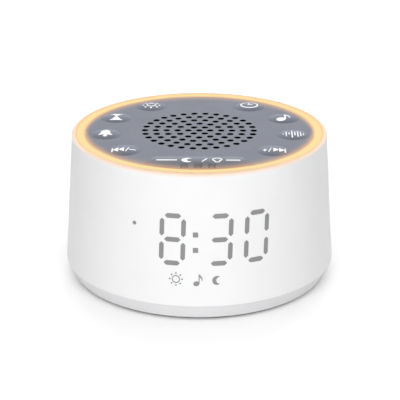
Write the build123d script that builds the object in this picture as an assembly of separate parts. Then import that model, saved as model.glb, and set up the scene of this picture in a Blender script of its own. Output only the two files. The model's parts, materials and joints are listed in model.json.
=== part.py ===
from build123d import *
import os
from math import cos, radians, sin, sqrt, tan

# White noise sound machine: a round bedside speaker with a light ring, eight keys, a snooze bar
# and a clock display that shines through its white wall.
# Millimetres. z = 0 is the table, +Z is up, the display faces -Y, and the origin is the middle of
# the footprint. A spot written as (r, angle) is polar, with the angle in degrees from +X.

# ---- Body ---------------------------------------------------------------------------------------
BODY_R = 53.0  # widest radius, at the parting line
LIP_R = 49.45  # outside radius of the top lip
BODY_H = 57.4  # top lip above the table
LIP_BEVEL = 0.4
WALL = 2.0  # wall of the shell
PARTING_Z = 6.8  # line between the shell and the base
PARTING_GAP = 0.15
BAND_R = 49.9  # underside radius of the base, where its bevelled band starts
FOOT_PROUD = 0.8  # how far the feet hold the base off the table
FLOOR_T = 2.4  # floor of the base
BAND_WALL = 1.8  # wall of the base behind its band
TONGUE_H = 2.0  # tongue of the base inside the shell
TONGUE_T = 1.4
FIT = 0.15  # clearance between mouldings that plug together
CLEAR = 0.3  # clearance round loose or moving pieces

# ---- Flats: small, repeated or hidden round pieces are drawn as regular prisms --------------------
HOLE_FLATS = 6  # grille holes
POST_FLATS = 6  # posts, pilots and pins
SCREW_FLATS = 6
KEY_FLATS = 20  # keys, feet and the round holes of the socket
CELL_FLATS = 12
SPEAKER_FLATS = 20
BOARD_FLATS = 24
INNER_FLATS = 48  # the inside of the shell, the base and the panel

# ---- Light ring and panel -----------------------------------------------------------------------
RING_R = 47.85  # outside radius of the glowing ring
RING_W = 3.25  # width of its visible face
RING_T = 2.0
RING_LEG_T = 0.85
RING_LEG_W = 5.0
RING_LEGS = 8
RING_SINK = 0.1  # ring face below the lip
PANEL_SINK = 0.2  # panel face below the lip
PANEL_T = 2.0
PANEL_GAP = 0.2  # between panel and ring
SKIRT_T = 1.2
SHELF_DEPTH = 5.6  # lip down to the shelf that carries panel and ring
SHELF_T = 2.0
SHELF_R = 41.6  # inner radius of the shelf
RING_BOARD_T = 0.8
RING_LEDS = 16
RING_LED = (1.6, 2.8, 0.7)

# ---- Grille -------------------------------------------------------------------------------------
GRILLE_PITCH = 4.24  # from one ring of holes to the next
GRILLE_RINGS = 5
GRILLE_HOLE_R = 1.3  # to the corners of a hole

# ---- Keys ---------------------------------------------------------------------------------------
KEY_R = 6.0
KEY_RING_R = 36.5  # keys stand on this circle
KEY_FIRST = -40.3  # angle of the front right key
KEY_STEP = 32.4
KEY_NAMES_RIGHT = ("next", "sound", "music", "clock")
KEY_NAMES_LEFT = ("previous", "alarm", "timer", "light")
KEY_CROWN = 0.8
CROWN_RINGS = (1.0, 0.6)  # the dome's edges, as shares of the key's radius
KEY_GAP = 0.2
KEY_TAB = 0.8  # how far a tab reaches under the panel
KEY_TAB_W = 4.0
KEY_TAB_T = 0.9
KEY_SLACK = 0.05  # between a tab and the panel above it
KEY_TRAVEL = 0.5
STEM_W = 3.0

# ---- Snooze bar ---------------------------------------------------------------------------------
SNOOZE_BACK = 30.2  # straight back edge, this far in front of the axis
SNOOZE_HALF = 15.6  # half its length, measured at that edge
SNOOZE_FLARE = 29.0  # degrees that its ends splay out
SNOOZE_CORNER_R = 3.0
SNOOZE_RAISE = 0.4
SNOOZE_BEVEL = 0.3
SNOOZE_STEM_X = 8.0
SNOOZE_STEM_Y = -37.0
MARK_PITCH = 5.0  # three raised finger marks
MARK_COUNT = 3
MARK_W = 2.5
MARK_L = 4.2
MARK_BACK = 39.3  # their back ends, in front of the axis
MARK_GROOVE = 0.4
MARK_DEPTH = 0.25

# ---- Key board and its switches -----------------------------------------------------------------
SWITCH_W = 6.0
SWITCH_H = 3.5
PLUNGER_W = 3.2
PLUNGER_PROUD = 1.5
PLUNGER_DEEP = 1.6
PLUNGER_GAP = 0.1
STEM_L = 1.0
BOARD_T = 1.6
KEY_BOARD_R = 41.0
KEY_BOARD_BORE_R = 28.5
BOARD_SCREW_SPOTS = ((35.0, 8.3), (35.0, 90.0), (35.0, 171.7), (37.5, -56.5), (37.5, -123.5))
PANEL_SCREW_R = 41.0  # panel screws stand on this circle, half way between two keys
PANEL_BOSS_R = 3.0
NOTCH_R = 3.4  # notch in the key board that lets a panel screw past

# ---- Screws -------------------------------------------------------------------------------------
POST_R = 2.2  # post for a small screw
SCREW_R = 0.9  # shank of a small screw
SCREW_HEAD_R = 2.1
SCREW_HEAD_T = 1.2
SCREW_L = 4.5
BITE = 0.1  # clearance round a shank in its pilot hole

# ---- Speaker ------------------------------------------------------------------------------------
SPEAKER_R = 26.5
SPEAKER_MOUTH_R = 22.8
SPEAKER_FLANGE_T = 0.8
GASKET_T = 1.8
BASKET_T = 0.8
BASKET_DEPTH = 11.0
BASKET_FLOOR_R = 13.0
MAGNET_R = 16.0
MAGNET_T = 8.0
SURROUND_W = 3.6
SURROUND_H = 1.2
SURROUND_T = 0.5
CONE_T = 0.5
CONE_NECK_R = 7.0
CONE_DEPTH = 6.0
CAP_RISE = 1.6
CONE_THROW = 0.6
SPEAKER_SCREW_R = 28.9
SPEAKER_SCREW_ANGLES = (40.7, 139.3, 242.0, 298.0)
SPEAKER_WASHER_R = 3.0

# ---- Display ------------------------------------------------------------------------------------
WINDOW_SKIN = 1.0  # wall left in front of the display
DISPLAY_HALF = 29.0
DISPLAY_BOTTOM = 12.5
DISPLAY_GAP = 0.6  # from the light box up to the key board
DISPLAY_BACK = 36.5  # back of the light box, in front of the axis
LUG_X = 12.0
LUG_W = 5.0
LUG_T = 3.0
DIGIT_ARCS = (-24.0, -9.85, 7.5, 21.6)  # digit centres along the wall
DIGIT_H = 19.8
DIGIT_W = 9.6
DIGIT_DROP = 13.55  # middle of the digits below the top of the light box
SEGMENT_T = 1.75
SEGMENT_GAP = 1.0
COLON_ARC = -1.36
COLON_DOTS_Z = (34.5, 28.6)
COLON_DOT = 1.95
ICON_SPOTS = ((-8.57, 17.3), (-0.65, 17.05), (6.9, 16.7))
ICON_CELL = 5.0
DISPLAY_LED = (1.0, 0.6, 1.6)
DISPLAY_SCREW_X = 20.5
DISPLAY_SCREW_UP = 4.0  # lower screws above the bottom of the light box
DISPLAY_SCREW_DOWN = 1.6  # upper screws below its top

# ---- Base: posts, feet and battery bay ----------------------------------------------------------
FOOT_R = 5.0
FOOT_T = 1.6
FOOT_BEVEL = 0.4
FOOT_SPOTS = ((42.0, 60.0), (42.0, 120.0), (42.0, 240.0), (42.0, 300.0))
CASE_SCREW_SPOTS = ((44.0, 25.0), (44.0, 155.0), (44.0, 205.0), (44.0, 335.0))
CASE_BOSS_R = 3.5
CASE_BOSS_TOP = 26.0
CASE_SCREW_R = 1.3
CASE_HEAD_R = 2.5
CASE_HEAD_T = 1.8
CASE_HEAD_SINK = 3.0  # head below the underside of the base
CASE_SCREW_L = 14.0
CELL_R = 5.25
CELL_L = 43.5
CELL_NUB_R = 1.9
CELL_NUB_L = 1.0
CELL_COUNT = 3
CELL_PITCH = 11.0
BAY_WALL = 1.5
SPRING_L = 3.0
CONTACT_T = 0.4
CONTACT_H = 8.0
CONTACT_W = 7.0
DOOR_T = 1.6
DOOR_LEDGE = 1.0
DOOR_LEDGE_T = 0.7
HINGE_R = 1.3
HINGE_PIN_R = 0.8
HINGE_PIN_L = 1.2
HINGE_RUN = 0.05
THUMB_R = 5.0
THUMB_DEPTH = 0.8
MASK_POST_W = 6.0
MASK_POST_X = 12.0
MASK_FIN_T = 1.5
MASK_FIN_H = 4.6

# ---- Main board ---------------------------------------------------------------------------------
MAIN_BOARD_R = 39.5
MAIN_BOARD_Z = 16.8
MAIN_BOARD_FRONT = 30.0  # straight front edge, in front of the axis
MAIN_POST_SPOTS = ((37.2, 36.3), (37.2, 143.7), (37.2, 216.3), (37.2, 323.7))
JACK_W = 9.0
JACK_H = 11.0
JACK_L = 14.0
JACK_MOUTH_R = 3.1
JACK_DEPTH = 9.0
JACK_PIN_R = 1.0
JACK_PIN_SINK = 1.0
JACK_HOLE_R = 4.0
CHIP_SPOTS = ((-14.0, -8.0, 10.0, 10.0, 1.6), (12.0, 4.0, 6.0, 5.0, 1.5), (-2.0, 20.0, 5.0, 4.0, 1.5))
CAP_R = 3.15
CAP_H = 7.7
CAP_SPOTS = ((14.0, 27.0), (22.0, 18.0), (24.0, -6.0))
PLUG_W = 8.0
PLUG_D = 4.0
PLUG_H = 6.0
RIBBON_W = 7.0
RIBBON_T = 0.6
RIBBON_SAG = 3.0
LEAD_X = -19.0
LEAD_Y = 12.0
LEAD_W = 2.6
LEAD_T = 1.3

# ---- Worked out from the sizes above --------------------------------------------------------------
UP = (Align.CENTER, Align.CENTER, Align.MIN)
DOWN = (Align.CENTER, Align.CENTER, Align.MAX)
TAPER = (BODY_R - LIP_R) / (BODY_H - PARTING_Z)
FLOOR_TOP = FOOT_PROUD + FLOOR_T
RING_TOP = BODY_H - RING_SINK
PANEL_TOP = BODY_H - PANEL_SINK
PANEL_UNDER = PANEL_TOP - PANEL_T
SHELF_Z = BODY_H - SHELF_DEPTH
SHELF_UNDER = SHELF_Z - SHELF_T
RING_INNER_R = RING_R - RING_W
PANEL_R = RING_INNER_R - PANEL_GAP
SKIRT_R = PANEL_R - SKIRT_T
TAB_TOP = PANEL_UNDER - KEY_SLACK
TAB_UNDER = TAB_TOP - KEY_TAB_T
PLUNGER_TOP = TAB_UNDER - STEM_L
SWITCH_TOP = PLUNGER_TOP - PLUNGER_PROUD
KEY_BOARD_TOP = SWITCH_TOP - SWITCH_H
KEY_BOARD_UNDER = KEY_BOARD_TOP - BOARD_T
MAIN_BOARD_TOP = MAIN_BOARD_Z + BOARD_T
FLANGE_TOP = PANEL_UNDER - GASKET_T
FLANGE_UNDER = FLANGE_TOP - SPEAKER_FLANGE_T
BASKET_UNDER = FLANGE_UNDER - BASKET_DEPTH
DISPLAY_TOP = KEY_BOARD_UNDER - DISPLAY_GAP
DIGIT_MID_Z = DISPLAY_TOP - DIGIT_DROP
DISPLAY_BOARD_BACK = DISPLAY_BACK - BOARD_T
CELL_Z = FOOT_PROUD + DOOR_T + CLEAR + CELL_R
BAY_TOP = CELL_Z + CELL_R + CLEAR
BAY_HALF_W = (CELL_COUNT - 1) * CELL_PITCH / 2 + CELL_R + 2 * CLEAR
BAY_L = CONTACT_T * 2 + CELL_NUB_L + CELL_L + SPRING_L + CLEAR
BAY_HALF_L = BAY_L / 2
HINGE_Y = BAY_HALF_W - CLEAR - HINGE_R
HINGE_Z = FOOT_PROUD + HINGE_R
HINGE = Pos(0, HINGE_Y, HINGE_Z) * Rot(0, 90, 0)
JACK_Z = MAIN_BOARD_TOP + JACK_H / 2
CASE_HEAD_Z = FOOT_PROUD + CASE_HEAD_SINK
TONGUE_TOP = PARTING_Z + TONGUE_H
CASE_BOSS_UNDER = TONGUE_TOP + FIT


def body_r(z):
    """Outside radius of the tapered wall at a height."""
    return BODY_R - TAPER * (z - PARTING_Z)


def wall_r(z):
    """Inside radius of the wall at a height."""
    return body_r(z) - WALL


JACK_FACE_Y = sqrt(wall_r(MAIN_BOARD_TOP + JACK_H) ** 2 - (JACK_W / 2) ** 2) - CLEAR
RIBBON_Y = JACK_FACE_Y - JACK_L - RIBBON_SAG - RIBBON_T - 2 * CLEAR


def turned(outline):
    """A solid turned about Z from a closed outline of (radius, height) corners."""
    return revolve(Plane.XZ * make_face(Polyline(*outline, close=True)), Axis.Z)


def facetted(outline, flats):
    """Like turned, but in flat facets whose corners lie on the circles of the outline."""
    faces = []
    for (r, z), (next_r, next_z) in zip(outline, outline[1:] + outline[:1]):
        for i in range(flats):
            here, there = radians(i * 360 / flats), radians((i + 1) * 360 / flats)
            corners = [
                (r * cos(here), r * sin(here), z),
                (r * cos(there), r * sin(there), z),
                (next_r * cos(there), next_r * sin(there), next_z),
                (next_r * cos(here), next_r * sin(here), next_z),
            ]
            corners = list(dict.fromkeys(corners))
            if len(corners) > 2:
                faces.append(Face(Wire.make_polygon(corners)))
    return Solid(Shell(faces)).clean()


def tube(outer_r, inner_r, bottom, top, flats):
    """A facetted ring of square section about Z."""
    return facetted([(inner_r, bottom), (outer_r, bottom), (outer_r, top), (inner_r, top)], flats)


def prism(r, bottom, top, flats):
    """A regular prism about Z whose corners lie on a circle."""
    return extrude(Plane.XY.offset(bottom) * RegularPolygon(r, flats), top - bottom)


def post(spot, r, bottom, top, flats=POST_FLATS):
    """A round post on a polar spot."""
    return at(spot) * prism(r, bottom, top, flats)


def block(x, y, z):
    """A box from three (low, high) pairs."""
    middle = [(low + high) / 2 for low, high in (x, y, z)]
    return Pos(*middle) * Box(*[high - low for low, high in (x, y, z)])


def at(spot, z=0.0):
    """The place of a polar spot at a height."""
    r, angle = spot
    return Pos(r * cos(radians(angle)), r * sin(radians(angle)), z)


def joined(solids):
    """One shape from several solids that touch or overlap."""
    first, *rest = solids
    for solid in rest:
        first = first + solid
    return first


def cut(shape, tools):
    """A shape with every tool taken out of it."""
    for tool in tools:
        shape = shape - tool
    return shape


def screw(shank_r, head_r, head_t, length):
    """A screw that points up from z = 0, with its head below."""
    return prism(shank_r, 0, length, SCREW_FLATS) + prism(head_r, -head_t, 0, SCREW_FLATS)


def small_screw():
    """The screw that holds boards to posts."""
    return screw(SCREW_R, SCREW_HEAD_R, SCREW_HEAD_T, SCREW_L)


def key_spots():
    """Name and polar spot of every round key."""
    spots = {}
    for i, name in enumerate(KEY_NAMES_RIGHT):
        spots[name] = (KEY_RING_R, KEY_FIRST + i * KEY_STEP)
    for i, name in enumerate(KEY_NAMES_LEFT):
        spots[name] = (KEY_RING_R, 180 - KEY_FIRST - i * KEY_STEP)
    return spots


def panel_screw_spots():
    """Polar spots of the panel screws, each half way between two keys."""
    right = [KEY_FIRST + KEY_STEP * step for step in (0.5, 2.5)]
    return [(PANEL_SCREW_R, angle) for angle in right + [180 - angle for angle in right]]


def snooze_outline(grow=0.0, r=PANEL_R):
    """Plan of the snooze bar: a straight back, splayed ends and a front that follows the ring."""
    reach = PANEL_R - SNOOZE_BACK
    front = SNOOZE_HALF + tan(radians(SNOOZE_FLARE)) * reach
    wedge = make_face(
        Polyline(
            (-SNOOZE_HALF, -SNOOZE_BACK),
            (SNOOZE_HALF, -SNOOZE_BACK),
            (front, -PANEL_R),
            (-front, -PANEL_R),
            close=True,
        )
    )
    wedge = fillet(wedge.vertices().group_by(Axis.Y)[-1], SNOOZE_CORNER_R)
    if grow:
        wedge = offset(wedge, grow)
    return wedge & Circle(r)


# ---- Outer shell and base -----------------------------------------------------------------------
def outer_shell():
    """Tapered wall with the ring's pocket, the shelf, the thinned window and the screw bosses."""
    pocket_r = RING_R + FIT
    wall = turned(
        [
            (0, PARTING_Z),
            (BODY_R, PARTING_Z),
            (LIP_R + TAPER * LIP_BEVEL, BODY_H - LIP_BEVEL),
            (LIP_R - LIP_BEVEL, BODY_H),
            (pocket_r, BODY_H),
            (pocket_r, SHELF_Z),
            (0, SHELF_Z),
        ]
    )
    inside = tapered_core(WALL, PARTING_Z, SHELF_UNDER)
    mouth = prism(SHELF_R, SHELF_UNDER, SHELF_Z, INNER_FLATS)
    lobes = [post(spot, PANEL_BOSS_R, SHELF_UNDER, SHELF_Z) for spot in panel_screw_spots()]
    holes = [post(spot, SCREW_R + BITE, SHELF_UNDER, SHELF_Z) for spot in panel_screw_spots()]
    plug_hole = Pos(0, BODY_R, JACK_Z) * Rot(90, 0, 0) * prism(JACK_HOLE_R, -2 * WALL, 2 * WALL, KEY_FLATS)
    shell = joined([cut(wall, [inside, mouth])] + lobes + [case_boss(spot) for spot in CASE_SCREW_SPOTS])
    return cut(shell, holes + [window_recess(), plug_hole])


def case_boss(spot):
    """Boss for one case screw, with the rib that ties it to the wall."""
    r, angle = spot
    boss = post(spot, CASE_BOSS_R, CASE_BOSS_UNDER, CASE_BOSS_TOP)
    rib_end = wall_r(CASE_BOSS_TOP) + WALL / 2
    rib = Rot(0, 0, angle) * block((r, rib_end), (-WALL / 2, WALL / 2), (CASE_BOSS_UNDER, CASE_BOSS_TOP))
    pilot = post(spot, CASE_SCREW_R + BITE, CASE_BOSS_UNDER, CASE_BOSS_TOP - WALL)
    return boss + rib - pilot


def tapered_core(skin, bottom, top):
    """Solid that fills the shell up to a given skin under its outside, between two heights."""
    corners = [(0, bottom), (body_r(bottom) - skin, bottom), (body_r(top) - skin, top), (0, top)]
    return facetted(corners, INNER_FLATS)


def window_recess():
    """The space behind the display where the wall is thinned to a skin that light shines through."""
    bottom = DISPLAY_BOTTOM - FIT
    top = DISPLAY_TOP + FIT
    half = DISPLAY_HALF + FIT
    core = tapered_core(WINDOW_SKIN, bottom, top)
    return core & block((-half, half), (-BODY_R, -DISPLAY_BACK), (bottom, top))


def base_cover():
    """Bevelled base with its tongue, the battery bay, screw tubes and the posts inside."""
    band_top = PARTING_Z - PARTING_GAP
    band_top_r = BODY_R - FIT
    tongue_r = wall_r(TONGUE_TOP) - FIT
    inner_r = tongue_r - TONGUE_T
    floor_r = min(BAND_R - BAND_WALL, inner_r)
    tray = turned([(0, FOOT_PROUD), (BAND_R, FOOT_PROUD), (band_top_r, band_top), (0, band_top)])
    tray = tray + prism(tongue_r, FLOOR_TOP, TONGUE_TOP, INNER_FLATS)
    tray = tray - facetted(
        [(0, FLOOR_TOP), (floor_r, FLOOR_TOP), (inner_r, TONGUE_TOP), (0, TONGUE_TOP)], INNER_FLATS
    )
    tubes = [post(spot, CASE_BOSS_R, FOOT_PROUD, TONGUE_TOP) for spot in CASE_SCREW_SPOTS]
    posts = [post(spot, POST_R, FOOT_PROUD, MAIN_BOARD_Z) for spot in MAIN_POST_SPOTS]
    bay = block(
        (-BAY_HALF_L - BAY_WALL, BAY_HALF_L + BAY_WALL),
        (-BAY_HALF_W - BAY_WALL, BAY_HALF_W + BAY_WALL),
        (FOOT_PROUD, BAY_TOP + BAY_WALL),
    )
    body = joined([tray, bay] + tubes + posts + [mask_post(side) for side in (-1, 1)])
    shanks = [post(spot, CASE_SCREW_R + BITE, FOOT_PROUD, TONGUE_TOP) for spot in CASE_SCREW_SPOTS]
    sinks = [post(spot, CASE_HEAD_R + BITE, FOOT_PROUD, CASE_HEAD_Z) for spot in CASE_SCREW_SPOTS]
    pilots = [post(spot, SCREW_R + BITE, FLOOR_TOP, MAIN_BOARD_Z) for spot in MAIN_POST_SPOTS]
    seats = [post(spot, FOOT_R + BITE, 0, FOOT_T, KEY_FLATS) for spot in FOOT_SPOTS]
    return cut(body, shanks + sinks + pilots + seats + [bay_space(), hinge_holes(), thumb_recess()])


def mask_post(side):
    """Post that carries one end of the display and stops it from sliding back."""
    x = (side * MASK_POST_X - MASK_POST_W / 2, side * MASK_POST_X + MASK_POST_W / 2)
    back = -DISPLAY_BOARD_BACK + FIT
    front = -sqrt((wall_r(PARTING_Z) - 2 * WALL) ** 2 - (MASK_POST_X + MASK_POST_W / 2) ** 2)
    foot = block(x, (front, back + MASK_FIN_T), (FOOT_PROUD, DISPLAY_BOTTOM - FIT))
    fin = block(x, (back, back + MASK_FIN_T), (FOOT_PROUD, DISPLAY_BOTTOM + MASK_FIN_H))
    return foot + fin


def bay_space():
    """The inside of the battery bay and its opening, less the ledge that the door closes on."""
    space = block((-BAY_HALF_L, BAY_HALF_L), (-BAY_HALF_W, BAY_HALF_W), (0, BAY_TOP))
    ledge_z = FOOT_PROUD + DOOR_T + FIT
    ledge = block(
        (-BAY_HALF_L, BAY_HALF_L),
        (-BAY_HALF_W, -BAY_HALF_W + DOOR_LEDGE),
        (ledge_z, ledge_z + DOOR_LEDGE_T),
    )
    return space - ledge


def hinge_holes():
    """Bore for the door's two hinge pins, right across the bay."""
    half = BAY_HALF_L + HINGE_PIN_L + CLEAR
    return HINGE * Cylinder(HINGE_PIN_R + HINGE_RUN, 2 * half)


def thumb_recess():
    """Scoop in the base that lets a finger reach the door's free edge."""
    return Pos(0, -BAY_HALF_W) * prism(THUMB_R, 0, FOOT_PROUD + THUMB_DEPTH, KEY_FLATS)


def rubber_feet():
    """Four round feet, bevelled where they meet the table."""
    outline = [(0, 0), (FOOT_R - FOOT_BEVEL, 0), (FOOT_R, FOOT_BEVEL), (FOOT_R, FOOT_T), (0, FOOT_T)]
    foot = facetted(outline, KEY_FLATS)
    return [at(spot) * foot for spot in FOOT_SPOTS]


def case_screws():
    """Four long screws from the base up into the shell's bosses."""
    one = screw(CASE_SCREW_R, CASE_HEAD_R, CASE_HEAD_T, CASE_SCREW_L)
    return [at(spot, CASE_HEAD_Z) * one for spot in CASE_SCREW_SPOTS]


# ---- Battery bay --------------------------------------------------------------------------------
def battery_door():
    """Door with a hinge barrel and two pins on its rear edge and a thumb grip on its front edge."""
    half = BAY_HALF_L - CLEAR
    plate = block((-half, half), (-BAY_HALF_W + CLEAR, HINGE_Y), (FOOT_PROUD, FOOT_PROUD + DOOR_T))
    barrel = HINGE * Cylinder(HINGE_R, 2 * half)
    pins = HINGE * Cylinder(HINGE_PIN_R, 2 * (half + HINGE_PIN_L))
    return plate - thumb_recess() + barrel + pins


def cell_rows():
    """Y of each cell and the side, +1 or -1, that its nub points to."""
    middle = (CELL_COUNT - 1) / 2
    return [((i - middle) * CELL_PITCH, 1 if i % 2 else -1) for i in range(CELL_COUNT)]


def battery_cells():
    """Three AAA cells, the middle one turned round."""
    cells = []
    for y, side in cell_rows():
        nub_tip = side * (BAY_HALF_L - CONTACT_T)
        nub = prism(CELL_NUB_R, -CELL_NUB_L, 0, POST_FLATS)
        can = prism(CELL_R, -CELL_NUB_L - CELL_L, -CELL_NUB_L, CELL_FLATS)
        cells.append(Pos(nub_tip, y, CELL_Z) * Rot(0, side * 90, 0) * (can + nub))
    return cells


def battery_contacts():
    """A flat contact at each nub and a bowed leaf spring at each can's end."""
    contacts = []
    low, high = CELL_Z - CONTACT_H / 2, CELL_Z + CONTACT_H / 2
    for y, side in cell_rows():
        wall = side * BAY_HALF_L
        sides = (y - CONTACT_W / 2, y + CONTACT_W / 2)
        contacts.append(block(sorted((wall, wall - side * CONTACT_T)), sides, (low, high)))
        tip = SPRING_L - CONTACT_T
        leaf = [(0, low), (0, high), (CONTACT_T, high), (tip, CELL_Z), (CONTACT_T, low)]
        leaf = make_face(Polyline(*leaf, close=True))
        hollow = [(0, low + CONTACT_T), (0, high - CONTACT_T), (tip - 2 * CONTACT_T, CELL_Z)]
        hollow = make_face(Polyline(*hollow, close=True))
        bow = extrude(Plane.XZ * (leaf - hollow), CONTACT_W / 2, both=True)
        turn = Rot(0, 0, 0) if side > 0 else Rot(0, 0, 180)
        contacts.append(Pos(-wall, y, 0) * turn * bow)
    return contacts


# ---- Light ring and panel -----------------------------------------------------------------------
def light_ring():
    """Milky diffuser: a flat band on legs that stand on the shelf."""
    under = RING_TOP - RING_T
    band = turned([(RING_INNER_R, under), (RING_R, under), (RING_R, RING_TOP), (RING_INNER_R, RING_TOP)])
    radial = (RING_R - RING_LEG_T, RING_R - CLEAR)
    leg = block(radial, (-RING_LEG_W / 2, RING_LEG_W / 2), (SHELF_Z, RING_TOP - RING_T / 2))
    return joined([band] + [Rot(0, 0, i * 360 / RING_LEGS) * leg for i in range(RING_LEGS)])


def ring_board():
    """Narrow ring of circuit board under the diffuser."""
    outer_r = RING_R - RING_LEG_T - FIT
    inner_r = PANEL_R + 2 * CLEAR
    return tube(outer_r, inner_r, SHELF_Z, SHELF_Z + RING_BOARD_T, 2 * SPEAKER_FLATS)


def ring_leds():
    """Light-emitting diodes spaced evenly round the ring board."""
    depth, width, height = RING_LED
    middle = (RING_R - RING_LEG_T - FIT + PANEL_R + CLEAR) / 2
    led = Pos(middle, 0, SHELF_Z + RING_BOARD_T) * Box(depth, width, height, align=UP)
    return [Rot(0, 0, i * 360 / RING_LEDS) * led for i in range(RING_LEDS)]


def grille_holes():
    """Tool for the speaker grille: one hole in the middle and rings of six more each time."""
    hole = RegularPolygon(GRILLE_HOLE_R, HOLE_FLATS)
    holes = [hole]
    for ring in range(1, GRILLE_RINGS + 1):
        holes += [loc * hole for loc in PolarLocations(ring * GRILLE_PITCH, 6 * ring)]
    return extrude(Plane.XY.offset(PANEL_UNDER) * Sketch(children=holes), PANEL_T)


def top_panel():
    """Grey top: grille, key openings, skirt and the posts that carry boards and speaker."""
    face = turned([(0, SHELF_Z), (PANEL_R, SHELF_Z), (PANEL_R, PANEL_TOP), (0, PANEL_TOP)])
    face = face - prism(SKIRT_R, SHELF_Z, PANEL_UNDER, INNER_FLATS)
    bosses = [post(spot, PANEL_BOSS_R, SHELF_Z, PANEL_UNDER) for spot in panel_screw_spots()]
    posts = [post(spot, POST_R, KEY_BOARD_TOP, PANEL_UNDER) for spot in BOARD_SCREW_SPOTS]
    lugs = [post(spot, POST_R, FLANGE_UNDER, PANEL_UNDER) for spot in speaker_screw_spots()]
    pilot_r = SCREW_R + BITE
    pilots = [post(spot, pilot_r, SHELF_Z, PANEL_UNDER) for spot in panel_screw_spots()]
    pilots += [post(spot, pilot_r, KEY_BOARD_TOP, PANEL_UNDER) for spot in BOARD_SCREW_SPOTS]
    pilots += [post(spot, pilot_r, FLANGE_UNDER, PANEL_UNDER) for spot in speaker_screw_spots()]
    opening = prism(KEY_R + KEY_GAP, PANEL_UNDER, PANEL_TOP, KEY_FLATS)
    openings = [key_place(spot) * opening for spot in key_spots().values()]
    body = joined([face] + bosses + posts + lugs)
    return cut(body, pilots + openings + [snooze_opening(), grille_holes()])


def snooze_opening():
    """Opening for the snooze bar, cut through the panel's edge and down into its skirt."""
    plan = snooze_outline(KEY_GAP, PANEL_R + CLEAR)
    bottom = TAB_UNDER - KEY_TRAVEL - CLEAR
    return extrude(Plane.XY.offset(bottom) * plan, PANEL_TOP - bottom + SNOOZE_RAISE)


def panel_screws():
    """Four screws up through the shelf into the panel."""
    return [at(spot, SHELF_UNDER) * small_screw() for spot in panel_screw_spots()]


# ---- Keys ---------------------------------------------------------------------------------------
def crown(r):
    """Height of a key's dome above its rim at a radius."""
    ball = (KEY_R**2 + KEY_CROWN**2) / (2 * KEY_CROWN)
    return sqrt(ball**2 - r**2) - (ball - KEY_CROWN)


def key(spot):
    """Round key: a low dome, a tab on each side under the panel and a stem over its switch."""
    rings = [KEY_R * share for share in CROWN_RINGS]
    dome = [(r, PANEL_TOP + crown(r)) for r in rings]
    cap = facetted([(0, TAB_UNDER), (KEY_R, TAB_UNDER)] + dome + [(0, dome[-1][1])], KEY_FLATS)
    reach = KEY_R + KEY_TAB
    bar = block((-KEY_TAB_W / 2, KEY_TAB_W / 2), (-reach, reach), (TAB_UNDER, TAB_TOP))
    stem = block((-STEM_W / 2, STEM_W / 2), (-STEM_W / 2, STEM_W / 2), (PLUNGER_TOP, TAB_UNDER))
    return key_place(spot) * (cap + bar + stem)


def snooze_spots():
    """Where the snooze bar's two stems stand."""
    return [Pos(side * SNOOZE_STEM_X, SNOOZE_STEM_Y) for side in (-1, 1)]


def finger_marks():
    """Grooves round the three finger marks on the snooze bar."""
    outer = Rectangle(MARK_W + MARK_GROOVE, MARK_L + MARK_GROOVE)
    outer = chamfer(outer.vertices(), MARK_W / 4)
    inner = offset(outer, -MARK_GROOVE, kind=Kind.INTERSECTION)
    top = PANEL_TOP + SNOOZE_RAISE
    groove = extrude(outer - inner, -MARK_DEPTH)
    middle = (MARK_COUNT - 1) / 2
    y = -MARK_BACK - MARK_L / 2
    return [Pos((i - middle) * MARK_PITCH, y, top) * groove for i in range(MARK_COUNT)]


def snooze_bar():
    """Wide bar at the front of the panel, with a flange under the panel and two stems."""
    front_r = PANEL_R - KEY_GAP / 2
    top = PANEL_TOP + SNOOZE_RAISE
    bar = extrude(Plane.XY.offset(TAB_UNDER) * snooze_outline(0, front_r), top - TAB_UNDER)
    bar = chamfer(bar.faces().sort_by(Axis.Z)[-1].edges(), SNOOZE_BEVEL)
    flange = snooze_outline(KEY_GAP + KEY_TAB, SKIRT_R - CLEAR)
    bar = bar + extrude(Plane.XY.offset(TAB_UNDER) * flange, KEY_TAB_T)
    stem = block((-STEM_W / 2, STEM_W / 2), (-STEM_W / 2, STEM_W / 2), (PLUNGER_TOP, TAB_UNDER))
    return cut(joined([bar] + [spot * stem for spot in snooze_spots()]), finger_marks())


def plunger():
    """The square button of a switch, at the origin of its key."""
    return Pos(0, 0, SWITCH_TOP - PLUNGER_DEEP) * Box(
        PLUNGER_W, PLUNGER_W, PLUNGER_PROUD + PLUNGER_DEEP, align=UP
    )


def key_place(spot):
    """Place of a key's switch: on its spot and turned to face the axis."""
    return at(spot) * Rot(0, 0, spot[1])


def key_switches():
    """Switch bodies on the key board, each with a well for its button."""
    well = PLUNGER_W + 2 * PLUNGER_GAP
    well_z = SWITCH_TOP - PLUNGER_DEEP - KEY_TRAVEL - PLUNGER_GAP
    body = Pos(0, 0, KEY_BOARD_TOP) * Box(SWITCH_W, SWITCH_W, SWITCH_H, align=UP)
    body = body - Pos(0, 0, well_z) * Box(well, well, SWITCH_H, align=UP)
    places = [key_place(spot) for spot in key_spots().values()] + snooze_spots()
    return [place * body for place in places]


def key_board():
    """Ring-shaped board under the keys, notched where the panel screws pass."""
    board = tube(KEY_BOARD_R, KEY_BOARD_BORE_R, KEY_BOARD_UNDER, KEY_BOARD_TOP, BOARD_FLATS)
    notches = [post(spot, NOTCH_R, KEY_BOARD_UNDER, KEY_BOARD_TOP) for spot in panel_screw_spots()]
    holes = [post(spot, SCREW_R + BITE, KEY_BOARD_UNDER, KEY_BOARD_TOP) for spot in BOARD_SCREW_SPOTS]
    return cut(board, notches + holes)


def board_screws():
    """Screws that hold the key board to the panel's posts."""
    return [at(spot, KEY_BOARD_UNDER) * small_screw() for spot in BOARD_SCREW_SPOTS]


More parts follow.
